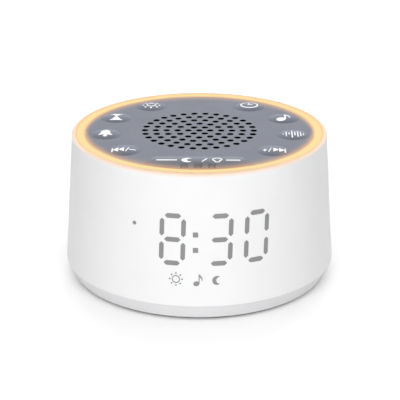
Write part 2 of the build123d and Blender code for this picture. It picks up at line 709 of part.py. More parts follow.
# ---- Speaker ------------------------------------------------------------------------------------
def speaker_screw_spots():
    """Polar spots of the screws round the speaker."""
    return [(SPEAKER_SCREW_R, angle) for angle in SPEAKER_SCREW_ANGLES]


def speaker_gasket():
    """Foam ring between the speaker and the panel."""
    return tube(SPEAKER_R - CLEAR, SPEAKER_MOUTH_R, FLANGE_TOP, PANEL_UNDER, SPEAKER_FLATS)


def speaker_frame():
    """Pressed steel basket with a flat flange."""
    floor_top = BASKET_UNDER + BASKET_T
    return facetted(
        [
            (CONE_NECK_R, BASKET_UNDER),
            (BASKET_FLOOR_R, BASKET_UNDER),
            (SPEAKER_MOUTH_R + BASKET_T, FLANGE_UNDER),
            (SPEAKER_R, FLANGE_UNDER),
            (SPEAKER_R, FLANGE_TOP),
            (SPEAKER_MOUTH_R, FLANGE_TOP),
            (BASKET_FLOOR_R - BASKET_T, floor_top),
            (CONE_NECK_R, floor_top),
        ],
        SPEAKER_FLATS,
    )


def speaker_magnet():
    """Magnet with its pole that rises into the voice coil."""
    pole_r = CONE_NECK_R - 3 * CONE_T
    under, pole_top = BASKET_UNDER - MAGNET_T, BASKET_UNDER + 2 * BASKET_T
    outline = [(0, under), (MAGNET_R, under), (MAGNET_R, BASKET_UNDER)]
    outline += [(pole_r, BASKET_UNDER), (pole_r, pole_top), (0, pole_top)]
    return facetted(outline, SPEAKER_FLATS)


def speaker_surround():
    """Rubber half roll between the cone and the flange."""
    outer = SPEAKER_MOUTH_R - 2 * FIT
    inner = outer - SURROUND_W
    slope = SURROUND_W / 3
    foot, top = FLANGE_TOP + SURROUND_T, FLANGE_TOP + SURROUND_H
    return facetted(
        [
            (outer, FLANGE_TOP),
            (outer, foot),
            (outer - slope, top),
            (inner + slope, top),
            (inner, foot),
            (inner, FLANGE_TOP),
            (inner + slope, top - SURROUND_T),
            (outer - slope, top - SURROUND_T),
        ],
        SPEAKER_FLATS,
    )


def speaker_cone():
    """Paper cone with its dust cap and the voice coil below it."""
    rim_r = SPEAKER_MOUTH_R - 3 * FIT - SURROUND_W
    coil_r = CONE_NECK_R - CONE_T
    neck_z = FLANGE_TOP - CONE_DEPTH
    coil_z = BASKET_UNDER + BASKET_T + CONE_THROW + CLEAR
    return facetted(
        [
            (0, neck_z),
            (coil_r - CONE_T, neck_z),
            (coil_r - CONE_T, coil_z),
            (coil_r, coil_z),
            (coil_r, neck_z),
            (rim_r, FLANGE_TOP),
            (rim_r, FLANGE_TOP + CONE_T),
            (coil_r, neck_z + CONE_T),
            (coil_r / 2, neck_z + CAP_RISE),
            (0, neck_z + CAP_RISE),
        ],
        SPEAKER_FLATS,
    )


def speaker_screws():
    """Screws whose wide heads clamp the speaker's flange."""
    one = screw(SCREW_R, SPEAKER_WASHER_R, SCREW_HEAD_T, SCREW_L - PANEL_T)
    return [at(spot, FLANGE_UNDER) * one for spot in speaker_screw_spots()]


# ---- Display ------------------------------------------------------------------------------------
def digit_cells():
    """The seven light cells of one digit, as (x, z, width, height) about its middle."""
    half_w = (DIGIT_W - SEGMENT_T) / 2
    half_h = (DIGIT_H - SEGMENT_T) / 2
    bar = DIGIT_W - SEGMENT_T - 2 * SEGMENT_GAP
    stroke = half_h - 2 * SEGMENT_GAP
    cells = [(0, level * half_h, bar, SEGMENT_T) for level in (-1, 0, 1)]
    for x in (-half_w, half_w):
        cells += [(x, level * half_h / 2, SEGMENT_T, stroke) for level in (-1, 1)]
    return cells


def light_cells():
    """Every cell of the display, as (arc, height, width, height of cell)."""
    cells = []
    for arc in DIGIT_ARCS:
        cells += [(arc + x, DIGIT_MID_Z + z, w, h) for x, z, w, h in digit_cells()]
    cells += [(COLON_ARC, z, COLON_DOT, COLON_DOT) for z in COLON_DOTS_Z]
    cells += [(arc, z, ICON_CELL, ICON_CELL) for arc, z in ICON_SPOTS]
    return cells


def display_mask():
    """Light box with one cell behind each segment, shaped to the inside of the wall."""
    core = tapered_core(WINDOW_SKIN + FIT, DISPLAY_BOTTOM, DISPLAY_TOP)
    box = core & block(
        (-DISPLAY_HALF, DISPLAY_HALF), (-BODY_R, -DISPLAY_BACK), (DISPLAY_BOTTOM, DISPLAY_TOP)
    )
    cells = []
    for arc, z, width, height in light_cells():
        x = body_r(z) * sin(arc / body_r(z))
        squeeze = cos(arc / body_r(z))
        cells.append(Pos(x, -BODY_R, z) * Box(width * squeeze, 2 * (BODY_R - DISPLAY_BACK), height))
    front = -wall_r(SHELF_UNDER) + 2 * FIT
    lug = block((-LUG_W / 2, LUG_W / 2), (front, front + LUG_T), (DISPLAY_TOP - LUG_T, SHELF_UNDER - FIT))
    inside = tapered_core(WALL + FIT, DISPLAY_TOP - LUG_T, SHELF_UNDER)
    lugs = [(Pos(side * LUG_X) * lug) & inside for side in (-1, 1)]
    holes = [display_screw_hole(spot) for spot in display_screw_spots()]
    return cut(joined([box] + lugs), cells + holes)


def display_screw_spots():
    """X and z of the screws that hold the display board to the light box."""
    heights = (DISPLAY_BOTTOM + DISPLAY_SCREW_UP, DISPLAY_TOP - DISPLAY_SCREW_DOWN)
    return [(side * DISPLAY_SCREW_X, z) for side in (-1, 1) for z in heights]


def display_screw_hole(spot):
    """Pilot hole for one of those screws, through the board and into the light box."""
    x, z = spot
    depth = SCREW_L - BOARD_T + CLEAR
    return block(
        (x - SCREW_R - BITE, x + SCREW_R + BITE),
        (-DISPLAY_BACK - depth, -DISPLAY_BOARD_BACK + CLEAR),
        (z - SCREW_R - BITE, z + SCREW_R + BITE),
    )


def display_board():
    """Upright board behind the light box."""
    board = block(
        (-DISPLAY_HALF, DISPLAY_HALF),
        (-DISPLAY_BACK, -DISPLAY_BOARD_BACK),
        (DISPLAY_BOTTOM, DISPLAY_TOP),
    )
    return cut(board, [display_screw_hole(spot) for spot in display_screw_spots()])


def display_leds():
    """One diode on the display board behind each cell."""
    width, depth, height = DISPLAY_LED
    leds = []
    for arc, z, cell_w, cell_h in light_cells():
        x = body_r(z) * sin(arc / body_r(z))
        tall = cell_h > cell_w
        size = (width, depth, height) if tall else (height, depth, width)
        leds.append(Pos(x, -DISPLAY_BACK - depth / 2, z) * Box(*size))
    return leds


def display_screws():
    """Screws from the back of the display board into the light box."""
    return [
        Pos(x, -DISPLAY_BOARD_BACK, z) * Rot(90, 0, 0) * small_screw() for x, z in display_screw_spots()
    ]


# ---- Main board ---------------------------------------------------------------------------------
def main_board():
    """Main board: a disc with a straight front and a tongue under the power jack."""
    kept = Pos(0, MAIN_BOARD_R - MAIN_BOARD_FRONT) * Rectangle(2 * MAIN_BOARD_R, 2 * MAIN_BOARD_R)
    plan = RegularPolygon(MAIN_BOARD_R, SPEAKER_FLATS) & kept
    tongue_l = JACK_FACE_Y - MAIN_BOARD_R / 2 - WALL
    plan = plan + Pos(0, MAIN_BOARD_R / 2 + tongue_l / 2) * Rectangle(JACK_W + 2 * WALL, tongue_l)
    board = extrude(Plane.XY.offset(MAIN_BOARD_Z) * plan, BOARD_T)
    holes = [post(spot, SCREW_R + BITE, MAIN_BOARD_Z, MAIN_BOARD_TOP) for spot in MAIN_POST_SPOTS]
    return cut(board, holes)


def main_board_screws():
    """Screws down through the main board into the base's posts."""
    return [at(spot, MAIN_BOARD_TOP) * Rot(180, 0, 0) * small_screw() for spot in MAIN_POST_SPOTS]


def board_chips():
    """Processor, amplifier and memory on the main board."""
    return [Pos(x, y, MAIN_BOARD_TOP) * Box(w, d, h, align=UP) for x, y, w, d, h in CHIP_SPOTS]


def board_capacitors():
    """Upright capacitors on the main board."""
    can = prism(CAP_R, MAIN_BOARD_TOP, MAIN_BOARD_TOP + CAP_H, CELL_FLATS)
    return [Pos(x, y) * can for x, y in CAP_SPOTS]


def power_jack():
    """Power socket at the rear edge of the main board, with its centre pin."""
    back = JACK_FACE_Y - JACK_L
    body = block((-JACK_W / 2, JACK_W / 2), (back, JACK_FACE_Y), (MAIN_BOARD_TOP, MAIN_BOARD_TOP + JACK_H))
    inward = Pos(0, JACK_FACE_Y, JACK_Z) * Rot(90, 0, 0)
    mouth = inward * prism(JACK_MOUTH_R, 0, JACK_DEPTH, KEY_FLATS)
    pin = inward * prism(JACK_PIN_R, JACK_PIN_SINK, JACK_DEPTH, POST_FLATS)
    return body - mouth + pin


def plugs():
    """White plugs: the key ribbon's two, the speaker's, and the one to the display."""
    lead_end = PLUG_D / 2 + LEAD_T / 2
    spots = [(0, RIBBON_Y, MAIN_BOARD_TOP), (LEAD_X, LEAD_Y, MAIN_BOARD_TOP)]
    boxes = [Pos(x, y, z) * Box(PLUG_W, PLUG_D, PLUG_H, align=UP) for x, y, z in spots]
    boxes.append(Pos(0, RIBBON_Y, KEY_BOARD_UNDER) * Box(PLUG_W, PLUG_D, PLUG_H, align=DOWN))
    header = block(
        (-DISPLAY_SCREW_X + 3 * WALL, DISPLAY_SCREW_X - 3 * WALL),
        (-DISPLAY_BOARD_BACK, -MAIN_BOARD_FRONT + lead_end),
        (MAIN_BOARD_TOP, MAIN_BOARD_TOP + BOARD_T),
    )
    return boxes + [header]


def key_ribbon():
    """Flat ribbon from the key board down to the main board, slack in the middle."""
    low, high = MAIN_BOARD_TOP + PLUG_H, KEY_BOARD_UNDER - PLUG_H
    bend = RIBBON_W / 2
    path = [
        (RIBBON_Y, low),
        (RIBBON_Y + RIBBON_SAG, low + bend),
        (RIBBON_Y + RIBBON_SAG, high - bend),
        (RIBBON_Y, high),
    ]
    back = [(y + RIBBON_T, z) for y, z in reversed(path)]
    return extrude(Plane.YZ * make_face(Polyline(*path, *back, close=True)), RIBBON_W / 2, both=True)


def speaker_lead():
    """Flat twin lead from the speaker's basket down to the main board."""
    top = FLANGE_UNDER - BASKET_DEPTH / 3
    x = LEAD_X - LEAD_T / 2
    low = MAIN_BOARD_TOP + PLUG_H
    return block((x, x + LEAD_T), (LEAD_Y - LEAD_W / 2, LEAD_Y + LEAD_W / 2), (low, top))


def save(name, shape):
    """Write one node, a solid or a list of separate solids, to its STEP file."""
    solids = shape if isinstance(shape, list) else [shape]
    solids = [solid for piece in solids for solid in piece.solids()]
    node = solids[0] if len(solids) == 1 else Compound(children=solids)
    export_step(node, f"parts/{name}.step")


os.makedirs("parts", exist_ok=True)
PIECES = (
    outer_shell,
    base_cover,
    rubber_feet,
    case_screws,
    battery_door,
    battery_cells,
    battery_contacts,
    light_ring,
    ring_board,
    ring_leds,
    top_panel,
    panel_screws,
    snooze_bar,
    key_switches,
    key_board,
    board_screws,
    speaker_gasket,
    speaker_frame,
    speaker_magnet,
    speaker_surround,
    speaker_cone,
    speaker_screws,
    display_mask,
    display_board,
    display_leds,
    display_screws,
    main_board,
    main_board_screws,
    board_chips,
    board_capacitors,
    power_jack,
    plugs,
    key_ribbon,
    speaker_lead,
)
for piece in PIECES:
    save(piece.__name__, piece())
for key_name, key_spot in key_spots().items():
    save(f"key_{key_name}", key(key_spot))
    save(f"switch_button_{key_name}", key_place(key_spot) * plunger())
save("snooze_buttons", [place * plunger() for place in snooze_spots()])
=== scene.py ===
import json
from math import cos, degrees, pi, radians, sin, sqrt, tan

import bmesh
import bpy
from mathutils import Matrix, Vector


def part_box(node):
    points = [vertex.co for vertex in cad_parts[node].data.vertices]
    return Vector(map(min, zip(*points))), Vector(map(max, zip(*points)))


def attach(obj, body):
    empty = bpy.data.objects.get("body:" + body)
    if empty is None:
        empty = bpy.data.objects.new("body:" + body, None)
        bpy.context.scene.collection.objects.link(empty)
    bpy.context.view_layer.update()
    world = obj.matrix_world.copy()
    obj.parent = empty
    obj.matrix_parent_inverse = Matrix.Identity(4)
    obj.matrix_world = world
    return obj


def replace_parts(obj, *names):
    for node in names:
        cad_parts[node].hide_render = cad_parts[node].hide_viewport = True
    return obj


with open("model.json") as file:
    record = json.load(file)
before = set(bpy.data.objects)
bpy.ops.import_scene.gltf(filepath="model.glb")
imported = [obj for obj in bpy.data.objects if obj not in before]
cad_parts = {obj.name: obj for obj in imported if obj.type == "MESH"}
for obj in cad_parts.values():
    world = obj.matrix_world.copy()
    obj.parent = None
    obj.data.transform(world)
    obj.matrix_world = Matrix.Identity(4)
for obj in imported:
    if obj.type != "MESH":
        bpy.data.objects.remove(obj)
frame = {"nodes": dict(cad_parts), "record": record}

# A bedside sound machine: white tapered shell, glowing ring, grey panel with round keys and a
# clock that shines through the wall. The front is toward -Y. Sizes are millimetres until a piece
# is finished, and places round the axis are degrees, anticlockwise from the right.
MM = 0.001
WELD = 1e-4  # points of a mesh that are nearer than this become one
INK = 0.06  # thickness of a printed sign

BODY_R, PARTING_Z = 53.0, 6.8
LIP_R, BODY_H = 49.45, 57.4
TAPER = (BODY_R - LIP_R) / (BODY_H - PARTING_Z)
RING_R, RING_INNER_R = 47.85, 44.6

PANEL_TOP, PANEL_R, PANEL_T = 57.2, 44.4, 2.0
SKIRT_T, SKIRT_FULL_Z = 1.2, 53.4
PANEL_POSTS = (  # radius, pilot radius, lower end or None for the skirt's, polar spots
    (3.0, 1.0, None, [(41.0, side) for side in (-24.1, 40.7, 139.3, 204.1)]),
    (2.2, 1.0, 48.25, [(35.0, 8.3), (35.0, 90.0), (35.0, 171.7), (37.5, -56.5), (37.5, -123.5)]),
    (2.2, 1.0, 52.6, [(28.9, side) for side in (40.7, 139.3, 242.0, 298.0)]),
)
GRILLE_PITCH, GRILLE_RINGS, GRILLE_HOLE_R = 4.24, 5, 1.3
GRILLE_R = 26.0  # within it, only the walls of the grille's holes stand upright

KEY_R, KEY_CROWN, KEY_RING_R, KEY_GAP = 6.0, 0.8, 36.5, 0.2
KEY_FIRST, KEY_STEP = -40.3, 32.4  # place of the first key on the right, and from key to key
KEYS_RIGHT = ("next", "sound", "music", "clock")  # from front to back
KEYS_LEFT = ("previous", "alarm", "timer", "light")
CAP_R = KEY_R + 0.17  # the cap's rim stands a little past its dome
# side of the cap under its dome: inset from the rim, and drop below the panel's top
CAP_SIDE = ((0.03, 0.02), (0, 0.08), (0, 0.5), (0.12, 0.6), (0.12, 2.95))
STEM_HALF, TAB_HALF, TAB_REACH, TAB_T = 1.5, 2.0, 6.8, 0.9

SNOOZE_TOP = 57.6
SNOOZE_BACK, SNOOZE_HALF = 30.2, 15.6  # its back edge's distance from the axis, and half length
SNOOZE_FLARE, SNOOZE_CORNER_R = 29.0, 3.0  # slant of its ends, and its back corners

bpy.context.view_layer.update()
NODES = frame["nodes"]


# ---- Materials -----------------------------------------------------------------------------------
class Surface:
    """One node material and the few nodes that every finish here uses."""

    DRIFT, PATCHES = (0.35, 0.65), (0.3, 0.7)  # parts of a noise's range that show

    def __init__(self, name, color, roughness, metallic=0.0, specular=0.5):
        self.material = bpy.data.materials.new(name)
        self.material.use_nodes = True
        self.tree = self.material.node_tree
        self.shader = self.tree.nodes["Principled BSDF"]
        self.color = color
        self.set("Base Color", (*color, 1))
        self.set("Roughness", roughness)
        self.set("Metallic", metallic)
        self.set("Specular IOR Level", specular)
        self.place = self.node("ShaderNodeTexCoord").outputs["Object"]

    def node(self, kind, **settings):
        """A new node with its settings."""
        made = self.tree.nodes.new(kind)
        for key, value in settings.items():
            setattr(made, key, value)
        return made

    def feed(self, socket, value):
        """Give a socket a value, or link it to the socket that has it."""
        if isinstance(value, bpy.types.NodeSocket):
            self.tree.links.new(value, socket)
        else:
            socket.default_value = value

    def set(self, socket, value):
        """Feed a socket of the shader."""
        self.feed(self.shader.inputs[socket], value)

    def paint(self, color):
        """Feed the shader a colour that varies, and keep it for a further tint."""
        self.painted = color
        self.set("Base Color", color)

    def glow(self, color, strength):
        """Light that the surface gives by itself."""
        self.set("Emission Color", (*color, 1))
        self.set("Emission Strength", strength)

    def math(self, operation, first, second=0.0, third=None):
        """One number worked out from sockets or numbers."""
        made = self.node("ShaderNodeMath", operation=operation)
        for socket, value in zip(made.inputs, (first, second, third)):
            if value is not None:
                self.feed(socket, value)
        return made.outputs[0]

    def noise(self, size_mm, detail=2.0, stretch=(1, 1, 1)):
        """Noise with features of about a given size."""
        mapping = self.node("ShaderNodeMapping")
        self.feed(mapping.inputs["Scale"], stretch)
        self.feed(mapping.inputs["Vector"], self.place)
        made = self.node("ShaderNodeTexNoise")
        self.feed(made.inputs["Scale"], 1 / (size_mm * MM))
        self.feed(made.inputs["Detail"], detail)
        self.feed(made.inputs["Vector"], mapping.outputs[0])
        return made.outputs["Fac"]

    def blend(self, share, first, second):
        """Colour between two, by a share from 0 to 1. Each is a colour or a socket."""
        made = self.node("ShaderNodeMix", data_type="RGBA")
        self.feed(made.inputs["Factor"], share)
        for socket, value in ((made.inputs[6], first), (made.inputs[7], second)):
            self.feed(socket, (*value, 1) if isinstance(value, tuple) else value)
        return made.outputs[2]

    def span(self, value, low, high, start=0.0, end=1.0):
        """A value moved from one range to another and held inside it."""
        made = self.node("ShaderNodeMapRange")
        for socket, source in zip(made.inputs[:5], (value, low, high, start, end)):
            self.feed(socket, source)
        return made.outputs["Result"]

    def shade(self, color, share, low, high):
        """A colour times a factor that goes from low to high as a share goes from 0 to 1."""
        scaled = self.node("ShaderNodeVectorMath", operation="SCALE")
        self.feed(scaled.inputs[0], color)
        self.feed(scaled.inputs["Scale"], self.span(share, 0.0, 1.0, low, high))
        return scaled.outputs[0]

    def mottle(self, size_mm, depth):
        """Colour that drifts a little lighter and darker."""
        dark = tuple(channel * (1 - depth) for channel in self.color)
        light = tuple(min(1.0, channel * (1 + depth)) for channel in self.color)
        share = self.span(self.noise(size_mm), *self.DRIFT)
        self.paint(self.blend(share, dark, light))

    def grain(self, size_mm, height_mm, stretch=(1, 1, 1)):
        """Fine surface texture as bump."""
        bump = self.node("ShaderNodeBump")
        self.feed(bump.inputs["Strength"], 1.0)
        self.feed(bump.inputs["Distance"], height_mm * MM)
        self.feed(bump.inputs["Height"], self.noise(size_mm, 3.0, stretch))
        self.set("Normal", bump.outputs[0])

    def wear(self, size_mm, low, high):
        """Roughness that varies in patches."""
        self.set("Roughness", self.span(self.noise(size_mm, 4.0), *self.PATCHES, low, high))

    def radius(self):
        """Distance from the object's axis, and x, y and z, in millimetres."""
        parts = self.node("ShaderNodeSeparateXYZ")
        self.feed(parts.inputs[0], self.place)
        x, y, z = (self.math("MULTIPLY", parts.outputs[i], 1 / MM) for i in range(3))
        squares = self.math("ADD", self.math("MULTIPLY", x, x), self.math("MULTIPLY", y, y))
        return self.math("SQRT", squares), x, y, z


def moulded(name, color, roughness, mottle=0.02, grain=0.004, size=0.6, specular=0.5):
    """Moulded plastic with a fine spark-eroded texture."""
    drift_mm, patch_mm, smoothest, roughest = 14.0, 5.0, 0.9, 1.12
    surface = Surface(name, color, roughness, specular=specular)
    surface.mottle(drift_mm, mottle)
    surface.wear(patch_mm, roughness * smoothest, min(1.0, roughness * roughest))
    surface.grain(size, grain)
    return surface


def metal(name, color, roughness, stretch=(1, 1, 1)):
    """Plated or brushed metal."""
    drift_mm, drift, patch_mm, smoothest, roughest = 3.0, 0.06, 1.5, 0.8, 1.3
    grain_mm, grain_height_mm = 0.25, 0.002
    surface = Surface(name, color, roughness, metallic=1.0)
    surface.mottle(drift_mm, drift)
    surface.wear(patch_mm, roughness * smoothest, min(1.0, roughness * roughest))
    surface.grain(grain_mm, grain_height_mm, stretch)
    return surface


# ---- Places --------------------------------------------------------------------------------------
def polar(r, angle):
    """X and y of a polar spot."""
    return (r * cos(radians(angle)), r * sin(radians(angle)))


def arc_points(x, y, r, start, end, steps):
    """Points spaced evenly along an arc, with both of its ends."""
    rays = (polar(r, start + (end - start) * i / steps) for i in range(steps + 1))
    return [(x + u, y + v) for u, v in rays]


def circle_points(x, y, r, steps):
    """Points round a circle."""
    turns = [i * 2 * pi / steps for i in range(steps)]
    return [(x + r * cos(turn), y + r * sin(turn)) for turn in turns]


def moon_points(x, y, r):
    """Outline of a crescent moon: an outer arc and a flatter one back."""
    tip, middle, steps = 50, r * 0.62, 16
    across, up = polar(r, tip)
    reach = sqrt((across - middle) ** 2 + up**2)
    half = degrees(Vector((1, 0)).angle(Vector((across - middle, up))))
    outer = arc_points(x, y, r, tip, 360 - tip, steps)
    inner = arc_points(x + middle, y, reach, 360 - half, half, steps)
    return outer + inner[1:-1]


def body_r(z):
    """Outside radius of the tapered wall at a height."""
    return BODY_R - TAPER * (z - PARTING_Z)


def crown(r):
    """Height of a key's dome above its rim at a radius."""
    ball = (KEY_R**2 + KEY_CROWN**2) / (2 * KEY_CROWN)
    return sqrt(ball**2 - min(r, KEY_R) ** 2) - (ball - KEY_CROWN)


def on_wall(arc, height):
    """Placing of a sign on the tapered wall, about a spot in front."""

    def place(x, y, z):
        up = height + y
        angle = (arc + x) / body_r(up)
        r = body_r(up) + z
        return Vector((r * sin(angle), -r * cos(angle), up))

    return place


def on_key(spot):
    """Placing of a sign on a key's dome."""

    def place(x, y, z):
        return Vector((spot.x + x, spot.y + y, PANEL_TOP + crown(sqrt(x * x + y * y)) + z))

    return place


def on_snooze(x, y, z):
    """Placing of a sign on the flat of the snooze bar."""
    return Vector((x, y, SNOOZE_TOP + z))


# ---- Building flat signs and solid pieces --------------------------------------------------------
def put(name, data):
    """A new object at the origin of the scene."""
    made = bpy.data.objects.new(name, data)
    bpy.context.scene.collection.objects.link(made)
    return made


def finish_piece(name, bm, body, surface, smooth_angle=35.0):
    """Turn a mesh in millimetres into a piece of the scene."""
    bmesh.ops.remove_doubles(bm, verts=bm.verts, dist=WELD)
    bmesh.ops.recalc_face_normals(bm, faces=bm.faces)
    bmesh.ops.scale(bm, vec=(MM, MM, MM), verts=bm.verts)
    mesh = bpy.data.meshes.new(name)
    bm.to_mesh(mesh)
    bm.free()
    mesh.shade_smooth()
    mesh.set_sharp_from_angle(angle=radians(smooth_angle))
    mesh.materials.append(surface.material)
    piece = put(name, mesh)
    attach(piece, body)
    return piece


def shape(bm, points, corner=0.0):
    """A flat face from its corners, which may be rounded a little."""
    corners = [bm.verts.new((x, y, 0)) for x, y in points]
    face = bm.faces.new(corners)
    if face.normal.z < 0:
        bmesh.ops.reverse_faces(bm, faces=[face])
    if corner:
        bmesh.ops.bevel(
            bm, geom=corners, offset=corner, affect="VERTICES", segments=3, profile=0.5, material=-1
        )


def stroke(bm, start, end, width):
    """A straight stroke with square ends."""
    along = (Vector(end) - Vector(start)).normalized()
    side = Vector((-along.y, along.x)) * width / 2
    a, b = Vector(start), Vector(end)
    shape(bm, [a - side, b - side, b + side, a + side])


def disc(bm, x, y, r, stretch=1.0, turn=0.0, segments=28):
    """A filled round or oval spot."""
    place = Matrix.Translation((x, y, 0)) @ Matrix.Rotation(radians(turn), 4, "Z")
    place = place @ Matrix.Diagonal((1, stretch, 1, 1))
    bmesh.ops.create_circle(bm, cap_ends=True, radius=r, segments=segments, matrix=place)


def hoop(bm, x, y, r, width, start=0.0, turn=360.0, steps=36):
    """A round stroke, or part of one, anticlockwise from a start angle."""
    ray, centre = Vector((*polar(1, start), 0)), Vector((x, y, 0))
    inner = bm.verts.new(centre + ray * (r - width / 2))
    outer = bm.verts.new(centre + ray * (r + width / 2))
    edge = bm.edges.new((inner, outer))
    bmesh.ops.spin(
        bm, geom=[inner, outer, edge], cent=centre, axis=(0, 0, 1), angle=radians(turn),
        steps=steps, use_merge=turn == 360.0,
    )


def cut_in_squares(bm, step):
    """Cut flat faces along x and y, so that they can follow a curved surface."""
    reach = max(max(abs(v.co.x), abs(v.co.y)) for v in bm.verts)
    count = int(reach / step) + 1
    for axis in ((1, 0, 0), (0, 1, 0)):
        for i in range(-count, count + 1):
            at = Vector(axis) * i * step
            geom = bm.verts[:] + bm.edges[:] + bm.faces[:]
            bmesh.ops.bisect_plane(bm, geom=geom, dist=1e-5, plane_co=at, plane_no=axis)


def thicken(bm, height):
    """Extrude flat faces up, or down by a height below zero."""
    raised = bmesh.ops.extrude_face_region(bm, geom=bm.faces[:])
    moved = [item for item in raised["geom"] if isinstance(item, bmesh.types.BMVert)]
    bmesh.ops.translate(bm, vec=(0, 0, height), verts=moved)


def lay_sign(name, bm, place, body, surface, step=0.0):
    """Give flat faces the thickness of ink and lay them on a surface, bent if there is a step."""
    if step:
        cut_in_squares(bm, step)
    bmesh.ops.translate(bm, vec=(0, 0, -INK / 2), verts=bm.verts)
    thicken(bm, INK)
    for vert in bm.verts:
        vert.co = place(*vert.co)
    return finish_piece(name, bm, body, surface)


def spin_round(bm, points, edges, centre, steps):
    """Spin a profile all the way about an upright axis."""
    bmesh.ops.spin(
        bm, geom=points + edges, cent=centre, axis=(0, 0, 1), angle=2 * pi, steps=steps,
        use_merge=True,
    )


def turned(profile, steps):
    """A mesh spun about Z from (radius, height) points."""
    bm = bmesh.new()
    points = [bm.verts.new((r, 0, z)) for r, z in profile]
    edges = [bm.edges.new(pair) for pair in zip(points, points[1:])]
    spin_round(bm, points, edges, (0, 0, 0), steps)
    bmesh.ops.remove_doubles(bm, verts=bm.verts, dist=WELD)
    return bm


def repeated(profile, r, angles, steps):
    """One mesh of a turned shape repeated round the axis."""
    bm = bmesh.new()
    for angle in angles:
        one = turned(profile, steps)
        bmesh.ops.translate(one, vec=(*polar(r, angle), 0), verts=one.verts)
        part = bpy.data.meshes.new("part")
        one.to_mesh(part)
        one.free()
        bm.from_mesh(part)
        bpy.data.meshes.remove(part)
    return bm


def tube_into(bm, spot, outer_r, inner_r, low, high, steps=24):
    """An upright tube about a spot, added to a mesh."""
    centre = Vector((*spot, 0))
    profile = [(inner_r, low), (outer_r, low), (outer_r, high), (inner_r, high)]
    points = [bm.verts.new(centre + Vector((r, 0, z))) for r, z in profile]
    edges = [bm.edges.new(pair) for pair in zip(points, points[1:] + points[:1])]
    spin_round(bm, points, edges, centre, steps)


def box_into(bm, low, high):
    """A box between two corners, added to a mesh."""
    size, middle = Vector(high) - Vector(low), (Vector(high) + Vector(low)) / 2
    place = Matrix.Translation(middle) @ Matrix.Diagonal((*size, 1))
    bmesh.ops.create_cube(bm, size=1.0, matrix=place)


def loop_into(bm, points):
    """A closed loop of edges, added to a mesh."""
    corners = [bm.verts.new((x, y, 0)) for x, y in points]
    for pair in zip(corners, corners[1:] + corners[:1]):
        bm.edges.new(pair)


# ---- Finishes ------------------------------------------------------------------------------------
RING_LIGHT, RING_EDGE_LIGHT = (0.965, 0.765, 0.387), (0.945, 0.585, 0.32)
RING_EDGE_W = 0.5
PANEL_GLOW, PANEL_HALO = (0.9, 0.53, 0.29), (1.0, 0.5, 0.14)  # painted glow of the ring: tint, and light of its own
SHELL_GLOW, SHELL_HALO = (0.95, 0.6, 0.33), (1.0, 0.72, 0.48)

# The ring's glow, painted on the panel and on the lip as a tint and light of their own. Each pair
# is a number at the sides, and what it gains toward the front and back.
PANEL_REACH, PANEL_TINT, PANEL_SHINE = (2.1, 6.6), (0.8, -0.3), (0.38, -0.2)
LIP_FADE, LIP_SHINE = (0.5, -0.3), (0.23, -0.2)
LIP_DROP, LIP_SPAN = 0.41, (0.5, 1.1)  # fade per mm down, and fades where the shine goes out
GLOW_CURVE = 3.0
SHY_SPAN = (15.0, 25.0)  # a shy glow is held back up to the first, and not past the second

SLOPE_SPAN = (-0.25, 0.25)  # slopes between which a key's painted shade turns into painted highlight
# Painted shade and highlight on the snooze bar's top, by place:
BAR_RISE, BAR_CURVE = (-38.5, -32.5), 1.5  # the snooze bar is lighter toward the back,
BAR_ENDS = (9.0, 19.0, 0.0, 0.14)  # lighter toward both ends,
BAR_FALL = (-32.5, -30.3, 1.0, 0.45)  # and darker again at the back edge
BASE_RIM, BASE_RIM_SHADE = (0.97, 1.17), 0.35  # heights where the painted shade low on the base ends, and its factor


def end_share(surface, r, y):
    """How near a point is to the front or back, from 0 at the sides to 1."""
    return surface.math("DIVIDE", surface.math("ABSOLUTE", y), surface.math("MAXIMUM", r, 1.0))


def gaining(surface, share, sides, gain):
    """A number at the sides, with what it gains toward the front and back."""
    return surface.math("MULTIPLY_ADD", share, gain, sides)


def panel_plastic(name, color, roughness, slope=None, bar=None, shy=0.0):
    """Grey plastic with the ring's glow painted along its edge.

    It may carry painted shade and highlight by its slope, or by its place as the snooze bar does,
    each by a lowest and a highest factor. Near the middle, the glow starts shy millimetres further
    out.
    """
    surface = moulded(name, color, roughness, mottle=0.015, grain=0.003, size=0.5, specular=0.1)
    tinted = surface.painted
    r, x, y, _ = surface.radius()
    aside = surface.math("ABSOLUTE", x)
    # Painted shade and highlight: darker where the surface faces the front, lighter where it faces
    # the back.
    if slope:
        normal = surface.node("ShaderNodeSeparateXYZ")
        surface.feed(normal.inputs[0], surface.node("ShaderNodeTexCoord").outputs["Normal"])
        tinted = surface.shade(tinted, surface.span(normal.outputs[1], *SLOPE_SPAN), *slope)
    # Painted shade and highlight on the snooze bar, by its place.
    if bar:
        share = surface.math("POWER", surface.span(y, *BAR_RISE), BAR_CURVE)
        share = surface.math("ADD", share, surface.span(aside, *BAR_ENDS))
        share = surface.math("MINIMUM", share, surface.span(y, *BAR_FALL))
        tinted = surface.shade(tinted, share, *bar)
    # Painted glow of the ring: a warm tint and light of its own, strongest at the panel's edge.
    share = end_share(surface, r, y)
    start = surface.span(aside, *SHY_SPAN, RING_INNER_R + shy, RING_INNER_R)
    depth = surface.math("SUBTRACT", r, start)
    near = surface.math("DIVIDE", depth, gaining(surface, share, *PANEL_REACH))
    near = surface.math("MAXIMUM", surface.math("ADD", near, 1.0), 0.0)
    glow = surface.math("POWER", near, GLOW_CURVE)
    tint = surface.math("MULTIPLY", glow, gaining(surface, share, *PANEL_TINT))
    surface.paint(surface.blend(tint, tinted, PANEL_GLOW))
    shine = surface.math("MULTIPLY", glow, gaining(surface, share, *PANEL_SHINE))
    surface.glow(PANEL_HALO, shine)
    return surface


def white_plastic(name, color, roughness, mottle):
    """Satin white plastic of the outside."""
    return moulded(name, color, roughness, mottle, grain=0.003, size=0.7, specular=0.1)


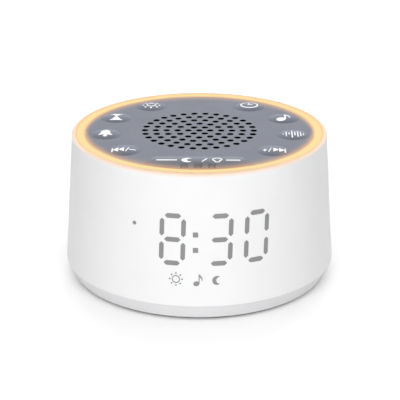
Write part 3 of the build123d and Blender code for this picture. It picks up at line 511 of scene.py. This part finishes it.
def shell_plastic():
    """White shell, with the ring's glow painted along its lip as a warm tint and light of its own.
    """
    surface = white_plastic("shell_plastic", (0.9, 0.9, 0.905), 0.42, 0.006)
    r, _, y, z = surface.radius()
    # Painted glow of the ring on the lip: a warm tint and light of its own, fading down the wall.
    share = end_share(surface, r, y)
    out = surface.math("MAXIMUM", surface.math("SUBTRACT", r, RING_R), 0.0)
    out = surface.math("MULTIPLY", out, gaining(surface, share, *LIP_FADE))
    down = surface.math("MAXIMUM", surface.math("SUBTRACT", BODY_H, z), 0.0)
    fade = surface.math("MULTIPLY_ADD", down, LIP_DROP, out)
    tint = surface.span(fade, 0.0, 1.0, 1.0, 0.0)
    surface.paint(surface.blend(tint, surface.painted, SHELL_GLOW))
    near = surface.span(fade, *LIP_SPAN, 1.0, 0.0)
    shine = gaining(surface, surface.math("MULTIPLY", share, share), *LIP_SHINE)
    surface.glow(SHELL_HALO, surface.math("MULTIPLY", near, shine))
    return surface


def base_plastic():
    """White base with painted shade, darker at its rounded lower rim and all over its underside."""
    surface = white_plastic("base_plastic", (0.8, 0.8, 0.81), 0.45, 0.008)
    _, _, _, z = surface.radius()
    # Painted shade: darker below these heights, over the lower rim and the underside.
    share = surface.span(z, *BASE_RIM)
    surface.paint(surface.shade(surface.painted, share, BASE_RIM_SHADE, 1.0))
    return surface


def ring_plastic():
    """Milky diffuser: bright in the middle and warmer along both edges."""
    drift_mm, drift = 5.0, 0.05
    middle, half = (RING_R + RING_INNER_R) / 2, (RING_R - RING_INNER_R) / 2
    surface = Surface("ring_plastic", (0.02, 0.015, 0.01), 0.6, specular=0.0)
    r, _, _, _ = surface.radius()
    away = surface.math("ABSOLUTE", surface.math("SUBTRACT", r, middle))
    waver = surface.span(surface.noise(drift_mm), *surface.PATCHES, -drift, drift)
    share = surface.span(surface.math("ADD", away, waver), half - RING_EDGE_W, half)
    surface.set("Emission Color", surface.blend(share, RING_LIGHT, RING_EDGE_LIGHT))
    surface.set("Emission Strength", 1.0)
    surface.wear(3.0, 0.5, 0.7)
    return surface


def circuit_board(name, mask, track):
    """Solder mask over copper tracks, as fine lines."""
    scale, track_w, darker, grain_mm, grain_height_mm = 90.0, 0.012, 0.85, 0.8, 0.01
    surface = Surface(name, mask, 0.35)
    tracks = surface.node("ShaderNodeTexBrick")
    looks = {
        "Color1": (*mask, 1), "Color2": (*[channel * darker for channel in mask], 1),
        "Mortar": (*track, 1), "Mortar Size": track_w, "Scale": scale, "Vector": surface.place,
    }
    for socket, value in looks.items():
        surface.feed(tracks.inputs[socket], value)
    surface.paint(tracks.outputs["Color"])
    surface.grain(grain_mm, grain_height_mm)
    return surface


WHITE = shell_plastic()
BASE = base_plastic()
PANEL_COLOR = (0.262, 0.278, 0.333)
PANEL = panel_plastic("panel_plastic", PANEL_COLOR, 0.5)
# The keys' domes carry painted shade in front and a painted highlight behind.
KEY_GREY = panel_plastic("key_plastic", (0.254, 0.274, 0.34), 0.5, slope=(0.46, 1.6))
# The snooze bar carries painted shade in front and a painted highlight toward its back.
BAR_GREY = panel_plastic("bar_plastic", PANEL_COLOR, 0.5, bar=(0.6, 1.37), shy=0.8)
MARK_GREY = panel_plastic("mark_plastic", (0.11, 0.112, 0.125), 0.6, shy=1.0)
RING = ring_plastic()
SIGN_WHITE = moulded("sign_ink", (0.93, 0.93, 0.93), 0.5, mottle=0.01)
# The white print glows a little: painted light that keeps it white.
SIGN_WHITE.glow((1, 1, 1), 0.25)
SIGN_GREY = moulded("display_light", (0.27, 0.27, 0.272), 0.6, mottle=0.03, specular=0.3)
# Near black for the lines round the finger marks: painted shade of their grooves.
MARK_SHADE_DARK = moulded("mark_groove_shade", (0.09, 0.085, 0.09), 0.6)
RUBBER = moulded("foot_rubber", (0.035, 0.035, 0.038), 0.8, mottle=0.12, grain=0.02, size=0.9)
# Black for the walls of the grille's holes: painted shade for the dark holes.
HOLE_SHADE_BLACK = moulded("grille_hole_shade", (0.002, 0.002, 0.002), 0.9, mottle=0.2, specular=0.0)
BLACK = moulded("black_moulding", (0.018, 0.018, 0.02), 0.45, mottle=0.1)
STEEL = metal("zinc_steel", (0.56, 0.56, 0.57), 0.35)

FINISHES = {  # finish of each material slot
    "white_shell": WHITE,
    "white_base": BASE,
    "grey_panel": PANEL,
    "grey_keys": KEY_GREY,
    "ring_diffuser": RING,
    "white_mask": moulded("mask_plastic", (0.8, 0.8, 0.79), 0.7),
    "rubber": RUBBER,
    "foam": moulded("gasket_foam", (0.05, 0.05, 0.055), 0.95, mottle=0.25, grain=0.12, size=0.5),
    "steel": STEEL,
    "nickel": metal("nickel_spring", (0.68, 0.66, 0.61), 0.25, stretch=(1, 8, 1)),
    "magnet": moulded("ferrite", (0.05, 0.05, 0.055), 0.6, mottle=0.2, grain=0.03),
    "paper_cone": moulded("pressed_paper", (0.012, 0.012, 0.014), 0.85, mottle=0.3, grain=0.05),
    "cell_jacket": moulded("cell_jacket", (0.16, 0.19, 0.24), 0.25),
    "green_board": circuit_board("green_solder_mask", (0.02, 0.14, 0.05), (0.05, 0.24, 0.1)),
    "white_board": circuit_board("white_solder_mask", (0.78, 0.78, 0.75), (0.6, 0.6, 0.56)),
    "ring_led": moulded("warm_led_lens", (0.9, 0.72, 0.35), 0.2),
    "display_led": moulded("white_led_lens", (0.85, 0.85, 0.75), 0.2),
    "black_plastic": BLACK,
    "switch_button": moulded("switch_button", (0.55, 0.55, 0.52), 0.4),
    "capacitor": moulded("capacitor_sleeve", (0.03, 0.035, 0.06), 0.3),
    "white_plug": moulded("nylon_plug", (0.76, 0.73, 0.64), 0.5),
    "ribbon": moulded("ribbon_jacket", (0.5, 0.5, 0.48), 0.4),
}


def dress_nodes():
    """Give every carried-over node its finish."""
    slots = {part["node"]: part["material_slot"] for part in frame["record"]["subparts"]}
    for name, node in NODES.items():
        node.data.materials.clear()
        surface = BAR_GREY if name == "snooze_bar" else FINISHES[slots[name]]
        node.data.materials.append(surface.material)


# ---- Keys ----------------------------------------------------------------------------------------
def key_spots():
    """Middle of every round key."""
    angles = {name: KEY_FIRST + i * KEY_STEP for i, name in enumerate(KEYS_RIGHT)}
    angles.update({name: 180 - KEY_FIRST - i * KEY_STEP for i, name in enumerate(KEYS_LEFT)})
    return {name: Vector((*polar(KEY_RING_R, angle), 0)) for name, angle in angles.items()}


def key_cap(name, spot):
    """Smooth domed cap in place of the plain one, with its tabs and stem."""
    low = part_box(f"key_{name}")[0].z / MM
    dome = [(r, PANEL_TOP + crown(r)) for r in (KEY_R * i / 12 for i in range(12))]
    side = [(CAP_R - inset, PANEL_TOP - drop) for inset, drop in CAP_SIDE]
    under = side[-1][1]
    bm = turned(dome + side + [(0, under)], steps=56)
    box_into(bm, (-STEM_HALF, -STEM_HALF, low), (STEM_HALF, STEM_HALF, under))
    box_into(bm, (-TAB_HALF, -TAB_REACH, under), (TAB_HALF, TAB_REACH, under + TAB_T))
    angle = Vector((1, 0)).angle_signed(spot.xy)
    turn = Matrix.Translation(spot) @ Matrix.Rotation(-angle, 4, "Z")
    bmesh.ops.transform(bm, matrix=turn, verts=bm.verts)
    piece = finish_piece(f"cap_{name}", bm, f"{name}_key", KEY_GREY, smooth_angle=40.0)
    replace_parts(piece, f"key_{name}")


def sign_skip(bm, side):
    """Two triangles and a bar, a slash, and a plus or a minus at the other end."""
    half, step, bar, slash, lean, end = 2.0, 2.15, 4.45, -side * 1.2, 0.55, -side * 3.15
    for x in (0.0, step):
        shape(bm, [(side * x, -half), (side * (x + step), 0), (side * x, half)])
    stroke(bm, (side * bar, -half), (side * bar, half), 0.5)
    stroke(bm, (slash - lean, -1.9), (slash + lean, 1.9), 0.4)
    reach = 0.85 if side > 0 else 1.2
    stroke(bm, (end - reach, 0), (end + reach, 0), 0.55)
    if side > 0:
        stroke(bm, (end, -1.2), (end, 1.2), 0.45)


def sign_waves(bm):
    """Upright bars of a sound wave."""
    heights, pitch, off = (0.9, 5.0, 2.1, 7.3, 3.8, 6.1, 4.5, 2.2), 1.11, 0.12
    for i, height in enumerate(heights):
        x = (i - (len(heights) - 1) / 2) * pitch + off
        stroke(bm, (x, -height / 2), (x, height / 2), 0.45)


def sign_note(bm, size=1.0):
    """A quaver."""
    foot, top, stem = -2.1 * size, 3.9 * size, 0.75 * size
    disc(bm, -0.95 * size, foot, 1.85 * size, stretch=0.86, turn=12)
    stroke(bm, (stem, foot), (stem, top), 0.6 * size)
    flag = [(0.45, 3.9), (1.6, 3.2), (2.6, 1.9), (2.9, 0.2), (2.35, -0.4), (2.2, 1.1), (0.9, 2.4)]
    shape(bm, [(x * size, y * size) for x, y in flag])


def sign_clock(bm):
    """A clock face with two hands."""
    hoop(bm, 0.15, 0, r=3.4, width=0.62)
    stroke(bm, (0, -0.35), (0, 2.3), 0.45)
    stroke(bm, (-0.6, 0), (1.5, 0), 0.75)


def sign_sun(bm, r=1.75, spread=3.3, dot=0.46, width=0.5):
    """A sun: a hoop and eight dots."""
    hoop(bm, 0, 0, r, width)
    for x, y in circle_points(0, 0, spread, 8):
        disc(bm, x, y, dot, segments=14)


def sign_hourglass(bm):
    """An hourglass between two caps."""
    for side in (-1, 1):
        stroke(bm, (-2.4, side * 3.4), (2.4, side * 3.4), 0.7)
        shape(bm, [(-1.8, side * 3.0), (1.8, side * 3.0), (0.2, 0.0), (-0.2, 0.0)])


def sign_bell(bm):
    """A bell with its clapper."""
    outline = [(-2.9, -2.2), (2.9, -2.2), (1.9, -1.0), (1.8, 1.4), (0.9, 3.0), (-0.9, 3.0)]
    shape(bm, outline + [(-1.8, 1.4), (-1.9, -1.0)], corner=0.3)
    disc(bm, 0, 3.3, 0.6, segments=16)
    disc(bm, 0, -3.2, 0.75, segments=16)


SIGNS = {  # what draws each key's sign, and how far behind the key's middle it is printed
    "next": (lambda bm: sign_skip(bm, 1), -0.7),
    "previous": (lambda bm: sign_skip(bm, -1), -0.8),
    "sound": (sign_waves, -0.5),
    "music": (sign_note, -0.4),
    "clock": (sign_clock, 0.6),
    "light": (sign_sun, 0.0),
    "timer": (sign_hourglass, 0.0),
    "alarm": (sign_bell, 0.0),
}


def make_keys():
    """Every key's cap with its printed sign."""
    for name, spot in key_spots().items():
        key_cap(name, spot)
        bm = bmesh.new()
        print_sign, off = SIGNS[name]
        print_sign(bm)
        bmesh.ops.translate(bm, vec=(0, off, 0), verts=bm.verts)
        lay_sign(f"sign_{name}", bm, on_key(spot), f"{name}_key", SIGN_WHITE, step=0.8)


# ---- Top panel -----------------------------------------------------------------------------------
def snooze_edge():
    """Edge of the snooze bar's opening on the right, from the panel's rim to the back."""
    flare = radians(SNOOZE_FLARE)
    across, along = Vector((cos(flare), sin(flare))), Vector((sin(flare), -cos(flare)))
    corner = Vector((SNOOZE_HALF, -SNOOZE_BACK)) + across * KEY_GAP
    slide = corner.dot(along)
    rim = corner - along * slide + along * sqrt(PANEL_R**2 - corner.dot(across) ** 2)
    r = SNOOZE_CORNER_R + KEY_GAP
    back = KEY_GAP - SNOOZE_BACK
    level = (back - corner.y) / along.y
    turn = (90 - SNOOZE_FLARE) / 2
    middle = Vector(((corner + along * level).x - r * tan(radians(turn)), back - r))
    bend = [middle + r * Vector(ray) for ray in arc_points(0, 0, 1, SNOOZE_FLARE, 90, 8)]
    return [rim] + bend


def grille_spots():
    """Middle of every hole of the grille."""
    spots = [(0.0, 0.0)]
    for ring in range(1, GRILLE_RINGS + 1):
        spots += circle_points(0, 0, ring * GRILLE_PITCH, 6 * ring)
    return spots


def panel_plate():
    """The panel's plate with the openings of its keys, snooze bar and grille."""
    edge = snooze_edge()
    start = degrees(edge[0].angle_signed(Vector((1, 0))))
    rim = arc_points(0, 0, PANEL_R, start, 180 - start, steps=128)
    right = [(x, y) for x, y in edge]
    left = [(-x, y) for x, y in edge]
    bm = bmesh.new()
    loop_into(bm, rim + left[1:] + right[:0:-1])
    for spot in key_spots().values():
        loop_into(bm, circle_points(spot.x, spot.y, KEY_R + KEY_GAP, steps=48))
    for x, y in grille_spots():
        loop_into(bm, circle_points(x, y, GRILLE_HOLE_R, steps=20))
    bmesh.ops.triangle_fill(bm, use_beauty=True, use_dissolve=False, edges=bm.edges[:])
    bmesh.ops.recalc_face_normals(bm, faces=bm.faces)
    if bm.faces[:][0].normal.z < 0:
        bmesh.ops.reverse_faces(bm, faces=bm.faces[:])
    bmesh.ops.translate(bm, vec=(0, 0, PANEL_TOP), verts=bm.verts)
    thicken(bm, -PANEL_T)
    return bm


def top_panel():
    """Grey top with round holes and smooth key openings, in place of the plain one, the grille's
    hole walls painted black as shade.
    """
    bm = panel_plate()
    under, foot = PANEL_TOP - PANEL_T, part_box("top_panel")[0].z / MM
    tube_into(bm, (0, 0), PANEL_R, PANEL_R - SKIRT_T, foot, SKIRT_FULL_Z, steps=96)
    for post_r, pilot_r, low_z, spots in PANEL_POSTS:
        for spot in spots:
            tube_into(bm, polar(*spot), post_r, pilot_r, foot if low_z is None else low_z, under)
    piece = finish_piece("panel", bm, "body", PANEL, smooth_angle=30.0)
    # Upright walls of the grille's holes get black, painted shade for the dark holes.
    piece.data.materials.append(HOLE_SHADE_BLACK.material)
    for face in piece.data.polygons:
        upright = abs(face.normal.z) < 0.5
        if upright and face.center.xy.length < GRILLE_R * MM:
            face.material_index = 1
    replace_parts(piece, "top_panel")


# ---- Snooze bar ----------------------------------------------------------------------------------
def snooze_signs():
    """A moon, a slash and a lamp between two guide lines."""
    y, moon, slash, lamp = -35.2, -3.9, 2.2, 6.9
    guides = ((-15.4, -7.8), (10.2, 15.4))
    neck, neck_angle, cap = 0.85, 32, 0.9
    bm = bmesh.new()
    shape(bm, moon_points(moon, y, 2.3))
    stroke(bm, (slash - 0.9, y - 1.7), (slash + 0.9, y + 1.7), 0.55)
    hoop(bm, lamp, y + 0.6, 1.6, 0.55, start=neck_angle - 90, turn=360 - 2 * neck_angle)
    for x in (lamp - neck, lamp + neck):
        stroke(bm, (x, y - 0.7), (x, y - 1.5), 0.5)
    stroke(bm, (lamp - cap, y - 2.0), (lamp + cap, y - 2.0), 0.7)
    for start, end in guides:
        stroke(bm, (start, y), (end, y), 0.95)
    lay_sign("sign_snooze", bm, on_snooze, "snooze", SIGN_WHITE)


def finger_marks():
    """Dark lines round the three finger marks, painted shade of their grooves, and the darker faces
    inside them.
    """
    back, front, half, pitch, steps = -40.65, -43.6, 1.05, 5.0, 12
    lines, faces = bmesh.new(), bmesh.new()
    for middle in (-pitch, 0.0, pitch):
        hoop(lines, middle, back, half, 0.5, start=0, turn=180, steps=steps)
        for x in (middle - half, middle + half):
            stroke(lines, (x, back), (x, front), 0.45)
        arch = arc_points(middle, back, half, 0, 180, steps)
        shape(faces, arch + [(middle - half, front), (middle + half, front)])

    def under_lines(x, y, z):
        return on_snooze(x, y, z / 2)

    lay_sign("mark_lines", lines, on_snooze, "snooze", MARK_SHADE_DARK)
    lay_sign("mark_faces", faces, under_lines, "snooze", MARK_GREY)


# ---- Clock display -------------------------------------------------------------------------------
DIGIT_MID, DIGIT_HALF_H, DIGIT_HALF_W = 32.45, 9.0, 4.0
SLANT = tan(radians(1.8))  # the numerals lean to the right
LEVEL_BAR, UPRIGHT_BAR = (6.1, 1.8), (6.9, 1.7)  # length and width
LEVELS = {"t": DIGIT_HALF_H, "m": 0.0, "b": -DIGIT_HALF_H}  # top, middle and bottom segments
UPRIGHTS = {"u": (-1, 1), "w": (-1, -1), "v": (1, 1), "x": (1, -1)}  # side, and up or down
NUMERALS = {"8": "tmbuvwx", "3": "tmbvx", "0": "tbuvwx"}
NUMERAL_ARCS = {"8": -9.35, "3": 8.0, "0": 22.1}  # places along the wall, from the front
COLON_ARC, COLON_HEIGHTS, COLON_HALVES = -0.86, (34.5, 28.6), (0.97, 0.95)
SMALL_SIGNS = {  # place along the wall, height, and what draws it
    "display_dot": (-24.1, 36.9, lambda bm: disc(bm, 0, 0, 0.75, segments=20)),
    "display_sun": (-8.07, 17.3, lambda bm: sign_sun(bm, 1.35, 2.3, 0.33, 0.38)),
    "display_note": (0.0, 17.0, lambda bm: sign_note(bm, 0.6)),
    "display_moon": (7.0, 16.9, lambda bm: shape(bm, moon_points(0, 0, 1.75))),
}


def segment_bar(bm, x, y, length, width, upright):
    """One hexagonal segment of a numeral."""
    half, side = length / 2, width / 2
    points = [(-half, 0), (side - half, -side), (half - side, -side), (half, 0)]
    points += [(half - side, side), (side - half, side)]
    if upright:
        points = [(v, u) for u, v in reversed(points)]
    points = [(x + u + SLANT * (y + v), y + v) for u, v in points]
    shape(bm, points, corner=0.14)


def numeral(bm, digit):
    """The lit segments of one numeral."""
    for key in NUMERALS[digit]:
        if key in LEVELS:
            segment_bar(bm, 0, LEVELS[key], *LEVEL_BAR, False)
        else:
            side, up = UPRIGHTS[key]
            segment_bar(bm, side * DIGIT_HALF_W, up * DIGIT_HALF_H / 2, *UPRIGHT_BAR, True)


def colon(bm):
    """Two square dots with rounded corners."""
    w, h = COLON_HALVES
    for y in (height - DIGIT_MID for height in COLON_HEIGHTS):
        shape(bm, [(-w, y - h), (w, y - h), (w, y + h), (-w, y + h)], corner=0.2)


def shine_through(name, arc, height, draw):
    """One sign of the clock, lit through the wall."""
    bm = bmesh.new()
    draw(bm)
    lay_sign(name, bm, on_wall(arc, height), "body", SIGN_GREY, step=1.0)


def clock_display():
    """Numerals, colon, dot and small signs of the clock."""
    for digit, arc in NUMERAL_ARCS.items():
        shine_through(f"numeral_{digit}", arc, DIGIT_MID, lambda bm: numeral(bm, digit))
    shine_through("colon", COLON_ARC, DIGIT_MID, colon)
    for name, (arc, height, draw) in SMALL_SIGNS.items():
        shine_through(name, arc, height, draw)


# ---- Underside -----------------------------------------------------------------------------------
FOOT_RING_R, FOOT_ANGLES = 42.0, (60, 120, 240, 300)
FOOT_PROFILE = [(0, 0), (4.3, 0), (4.75, 0.1), (5.0, 0.45), (5.0, 1.6), (0, 1.6)]
SCREW_RING_R, SCREW_ANGLES, SCREW_LOW = 44.0, (25, 155, 205, 335), 2.0
SCREW_PROFILE = [
    (0, SCREW_LOW), (1.9, SCREW_LOW), (2.4, 2.5), (2.4, 3.8),
    (1.25, 3.8), (1.25, 16.6), (0.2, 17.8), (0, 17.8),
]
CROSS_HALF, CROSS_W = 1.35, 0.55


def foot_pads():
    """Smooth rubber feet in place of the plain ones."""
    bm = repeated(FOOT_PROFILE, FOOT_RING_R, FOOT_ANGLES, steps=40)
    piece = finish_piece("foot_pads", bm, "body", RUBBER)
    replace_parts(piece, "rubber_feet")


def base_screws():
    """Round screws in place of the plain ones, with a black cross on each flat head as painted
    shade of its recess.
    """
    bm = repeated(SCREW_PROFILE, SCREW_RING_R, SCREW_ANGLES, steps=28)
    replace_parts(finish_piece("base_screws", bm, "body", STEEL), "case_screws")
    crosses = bmesh.new()
    for x, y in (polar(SCREW_RING_R, angle) for angle in SCREW_ANGLES):
        stroke(crosses, (x - CROSS_HALF, y), (x + CROSS_HALF, y), CROSS_W)
        stroke(crosses, (x, y - CROSS_HALF), (x, y + CROSS_HALF), CROSS_W)

    def on_heads(x, y, z):
        return Vector((x, y, SCREW_LOW + z))

    # The crosses are black: painted shade of the recesses in the heads.
    lay_sign("screw_cross_shade", crosses, on_heads, "body", BLACK)


# ---- Studio --------------------------------------------------------------------------------------
ROOM_LEVEL = 0.05  # how much light the surroundings give
FLOOR_HALF_M = 6.0
FLOOR_WHITE, FLOOR_BOUNCE = (0.92, 0.92, 0.92), (0.82, 0.82, 0.82)  # as seen, and as it lights
FLOOR_LIFT, FLOOR_CLEAR = 0.22, 0.15  # painted light beside the base, and what is added far off, so shadows fade with distance
FLOOR_EDGE, FLOOR_REACH = (48.4, 49.3), (57.0, 80.0)  # where each rises, from the axis
FLOOR_SIDES, FLOOR_MORE = (-42.0, -10.0), 1.3  # y from the front to the sides, and the gain of painted light there
FLOOR_GAP, FLOOR_UNDER = (48.4, 49.0), 0.3  # rim of the gap under the base, and the factor of its painted shade
LAMP_SPREAD = 40
LAMPS = (  # azimuth, elevation, strength
    ("front_left", -31.5, 15, 0.502),
    ("front_right", 31.5, 15, 0.405),
    ("side_right", 115, 15, 0.09),
    ("back_high", 180, 45, 0.3),
    ("overhead", 0, 85, 0.26),
)
EYE_M, AIM_M = 0.55968, 0.02812  # distance, and height of the point that it looks at
EYE_TILT, EYE_TURN = 0.37282, radians(0.6)
LENS, SENSOR, SHIFT, CLIP_M = 126.99, 36.0, 0.0016, 0.02


def background_seen(tree):
    """1 for the camera's rays and those off metal and through glass, and 0 for plain light."""
    path = tree.nodes.new("ShaderNodeLightPath")
    seen = path.outputs["Is Camera Ray"]
    for kind in ("Is Glossy Ray", "Is Transmission Ray"):
        either = tree.nodes.new("ShaderNodeMath")
        either.operation = "MAXIMUM"
        tree.links.new(seen, either.inputs[0])
        tree.links.new(path.outputs[kind], either.inputs[1])
        seen = either.outputs[0]
    return seen


def floor():
    """Pale floor that shows white and keeps the object's shadow, with painted shade under the base
    and painted light that grows with distance and at the sides and back.
    """
    bm = bmesh.new()
    bmesh.ops.create_grid(bm, x_segments=1, y_segments=1, size=FLOOR_HALF_M)
    mesh = bpy.data.meshes.new("floor")
    bm.to_mesh(mesh)
    bm.free()
    plane = put("floor", mesh)
    surface = Surface("floor_paper", FLOOR_WHITE, 0.9, specular=0.0)
    seen = background_seen(surface.tree)
    r, _, y, _ = surface.radius()
    paper = surface.blend(seen, FLOOR_BOUNCE, FLOOR_WHITE)
    # Painted shade on the floor under the base's rim.
    surface.paint(surface.shade(paper, surface.span(r, *FLOOR_GAP), FLOOR_UNDER, 1.0))
    # Light seen by the camera: none under the base, painted light rising with distance.
    near = surface.span(r, *FLOOR_EDGE, 0.0, FLOOR_LIFT)
    near = surface.math("MULTIPLY", near, surface.span(y, *FLOOR_SIDES, 1.0, FLOOR_MORE))
    far = surface.span(r, *FLOOR_REACH, 0.0, FLOOR_CLEAR)
    surface.glow((1, 1, 1), surface.math("MULTIPLY", seen, surface.math("ADD", near, far)))
    mesh.materials.append(surface.material)


def softbox(name, azimuth, elevation, strength):
    """A far, wide, soft lamp. Azimuth 0 is in front, elevation is above the floor."""
    data = bpy.data.lights.new(name, "SUN")
    data.energy = strength * pi
    data.angle = radians(LAMP_SPREAD)
    turn, tilt = radians(azimuth), radians(elevation)
    toward = Vector((sin(turn) * cos(tilt), -cos(turn) * cos(tilt), sin(tilt)))
    put(name, data).rotation_euler = toward.to_track_quat("Z", "Y").to_euler()


def room():
    """White surroundings, dimmer as light than as seen."""
    world = bpy.data.worlds.new("room")
    bpy.context.scene.world = world
    world.use_nodes = True
    tree = world.node_tree
    shade = tree.nodes["Background"]
    strength = tree.nodes.new("ShaderNodeMapRange")
    tree.links.new(background_seen(tree), strength.inputs["Value"])
    strength.inputs["To Min"].default_value = ROOM_LEVEL
    strength.inputs["To Max"].default_value = 1.0
    tree.links.new(strength.outputs[0], shade.inputs["Strength"])
    shade.inputs["Color"].default_value = (1, 1, 1, 1)


def camera():
    """Camera in front of the clock, looking down a little."""
    data = bpy.data.cameras.new("camera")
    data.lens, data.sensor_width = LENS, SENSOR
    data.shift_x, data.clip_start = SHIFT, CLIP_M
    eye = put("camera", data)
    back, up = EYE_M * cos(EYE_TILT), EYE_M * sin(EYE_TILT)
    eye.location = (back * sin(EYE_TURN), -back * cos(EYE_TURN), up + AIM_M)
    eye.rotation_euler = (pi / 2 - EYE_TILT, 0, EYE_TURN)
    bpy.context.scene.camera = eye


dress_nodes()
top_panel()
make_keys()
snooze_signs()
finger_marks()
clock_display()
foot_pads()
base_screws()
floor()
room()
for lamp in LAMPS:
    softbox(*lamp)
camera()
bpy.context.scene.view_settings.view_transform = "Standard"
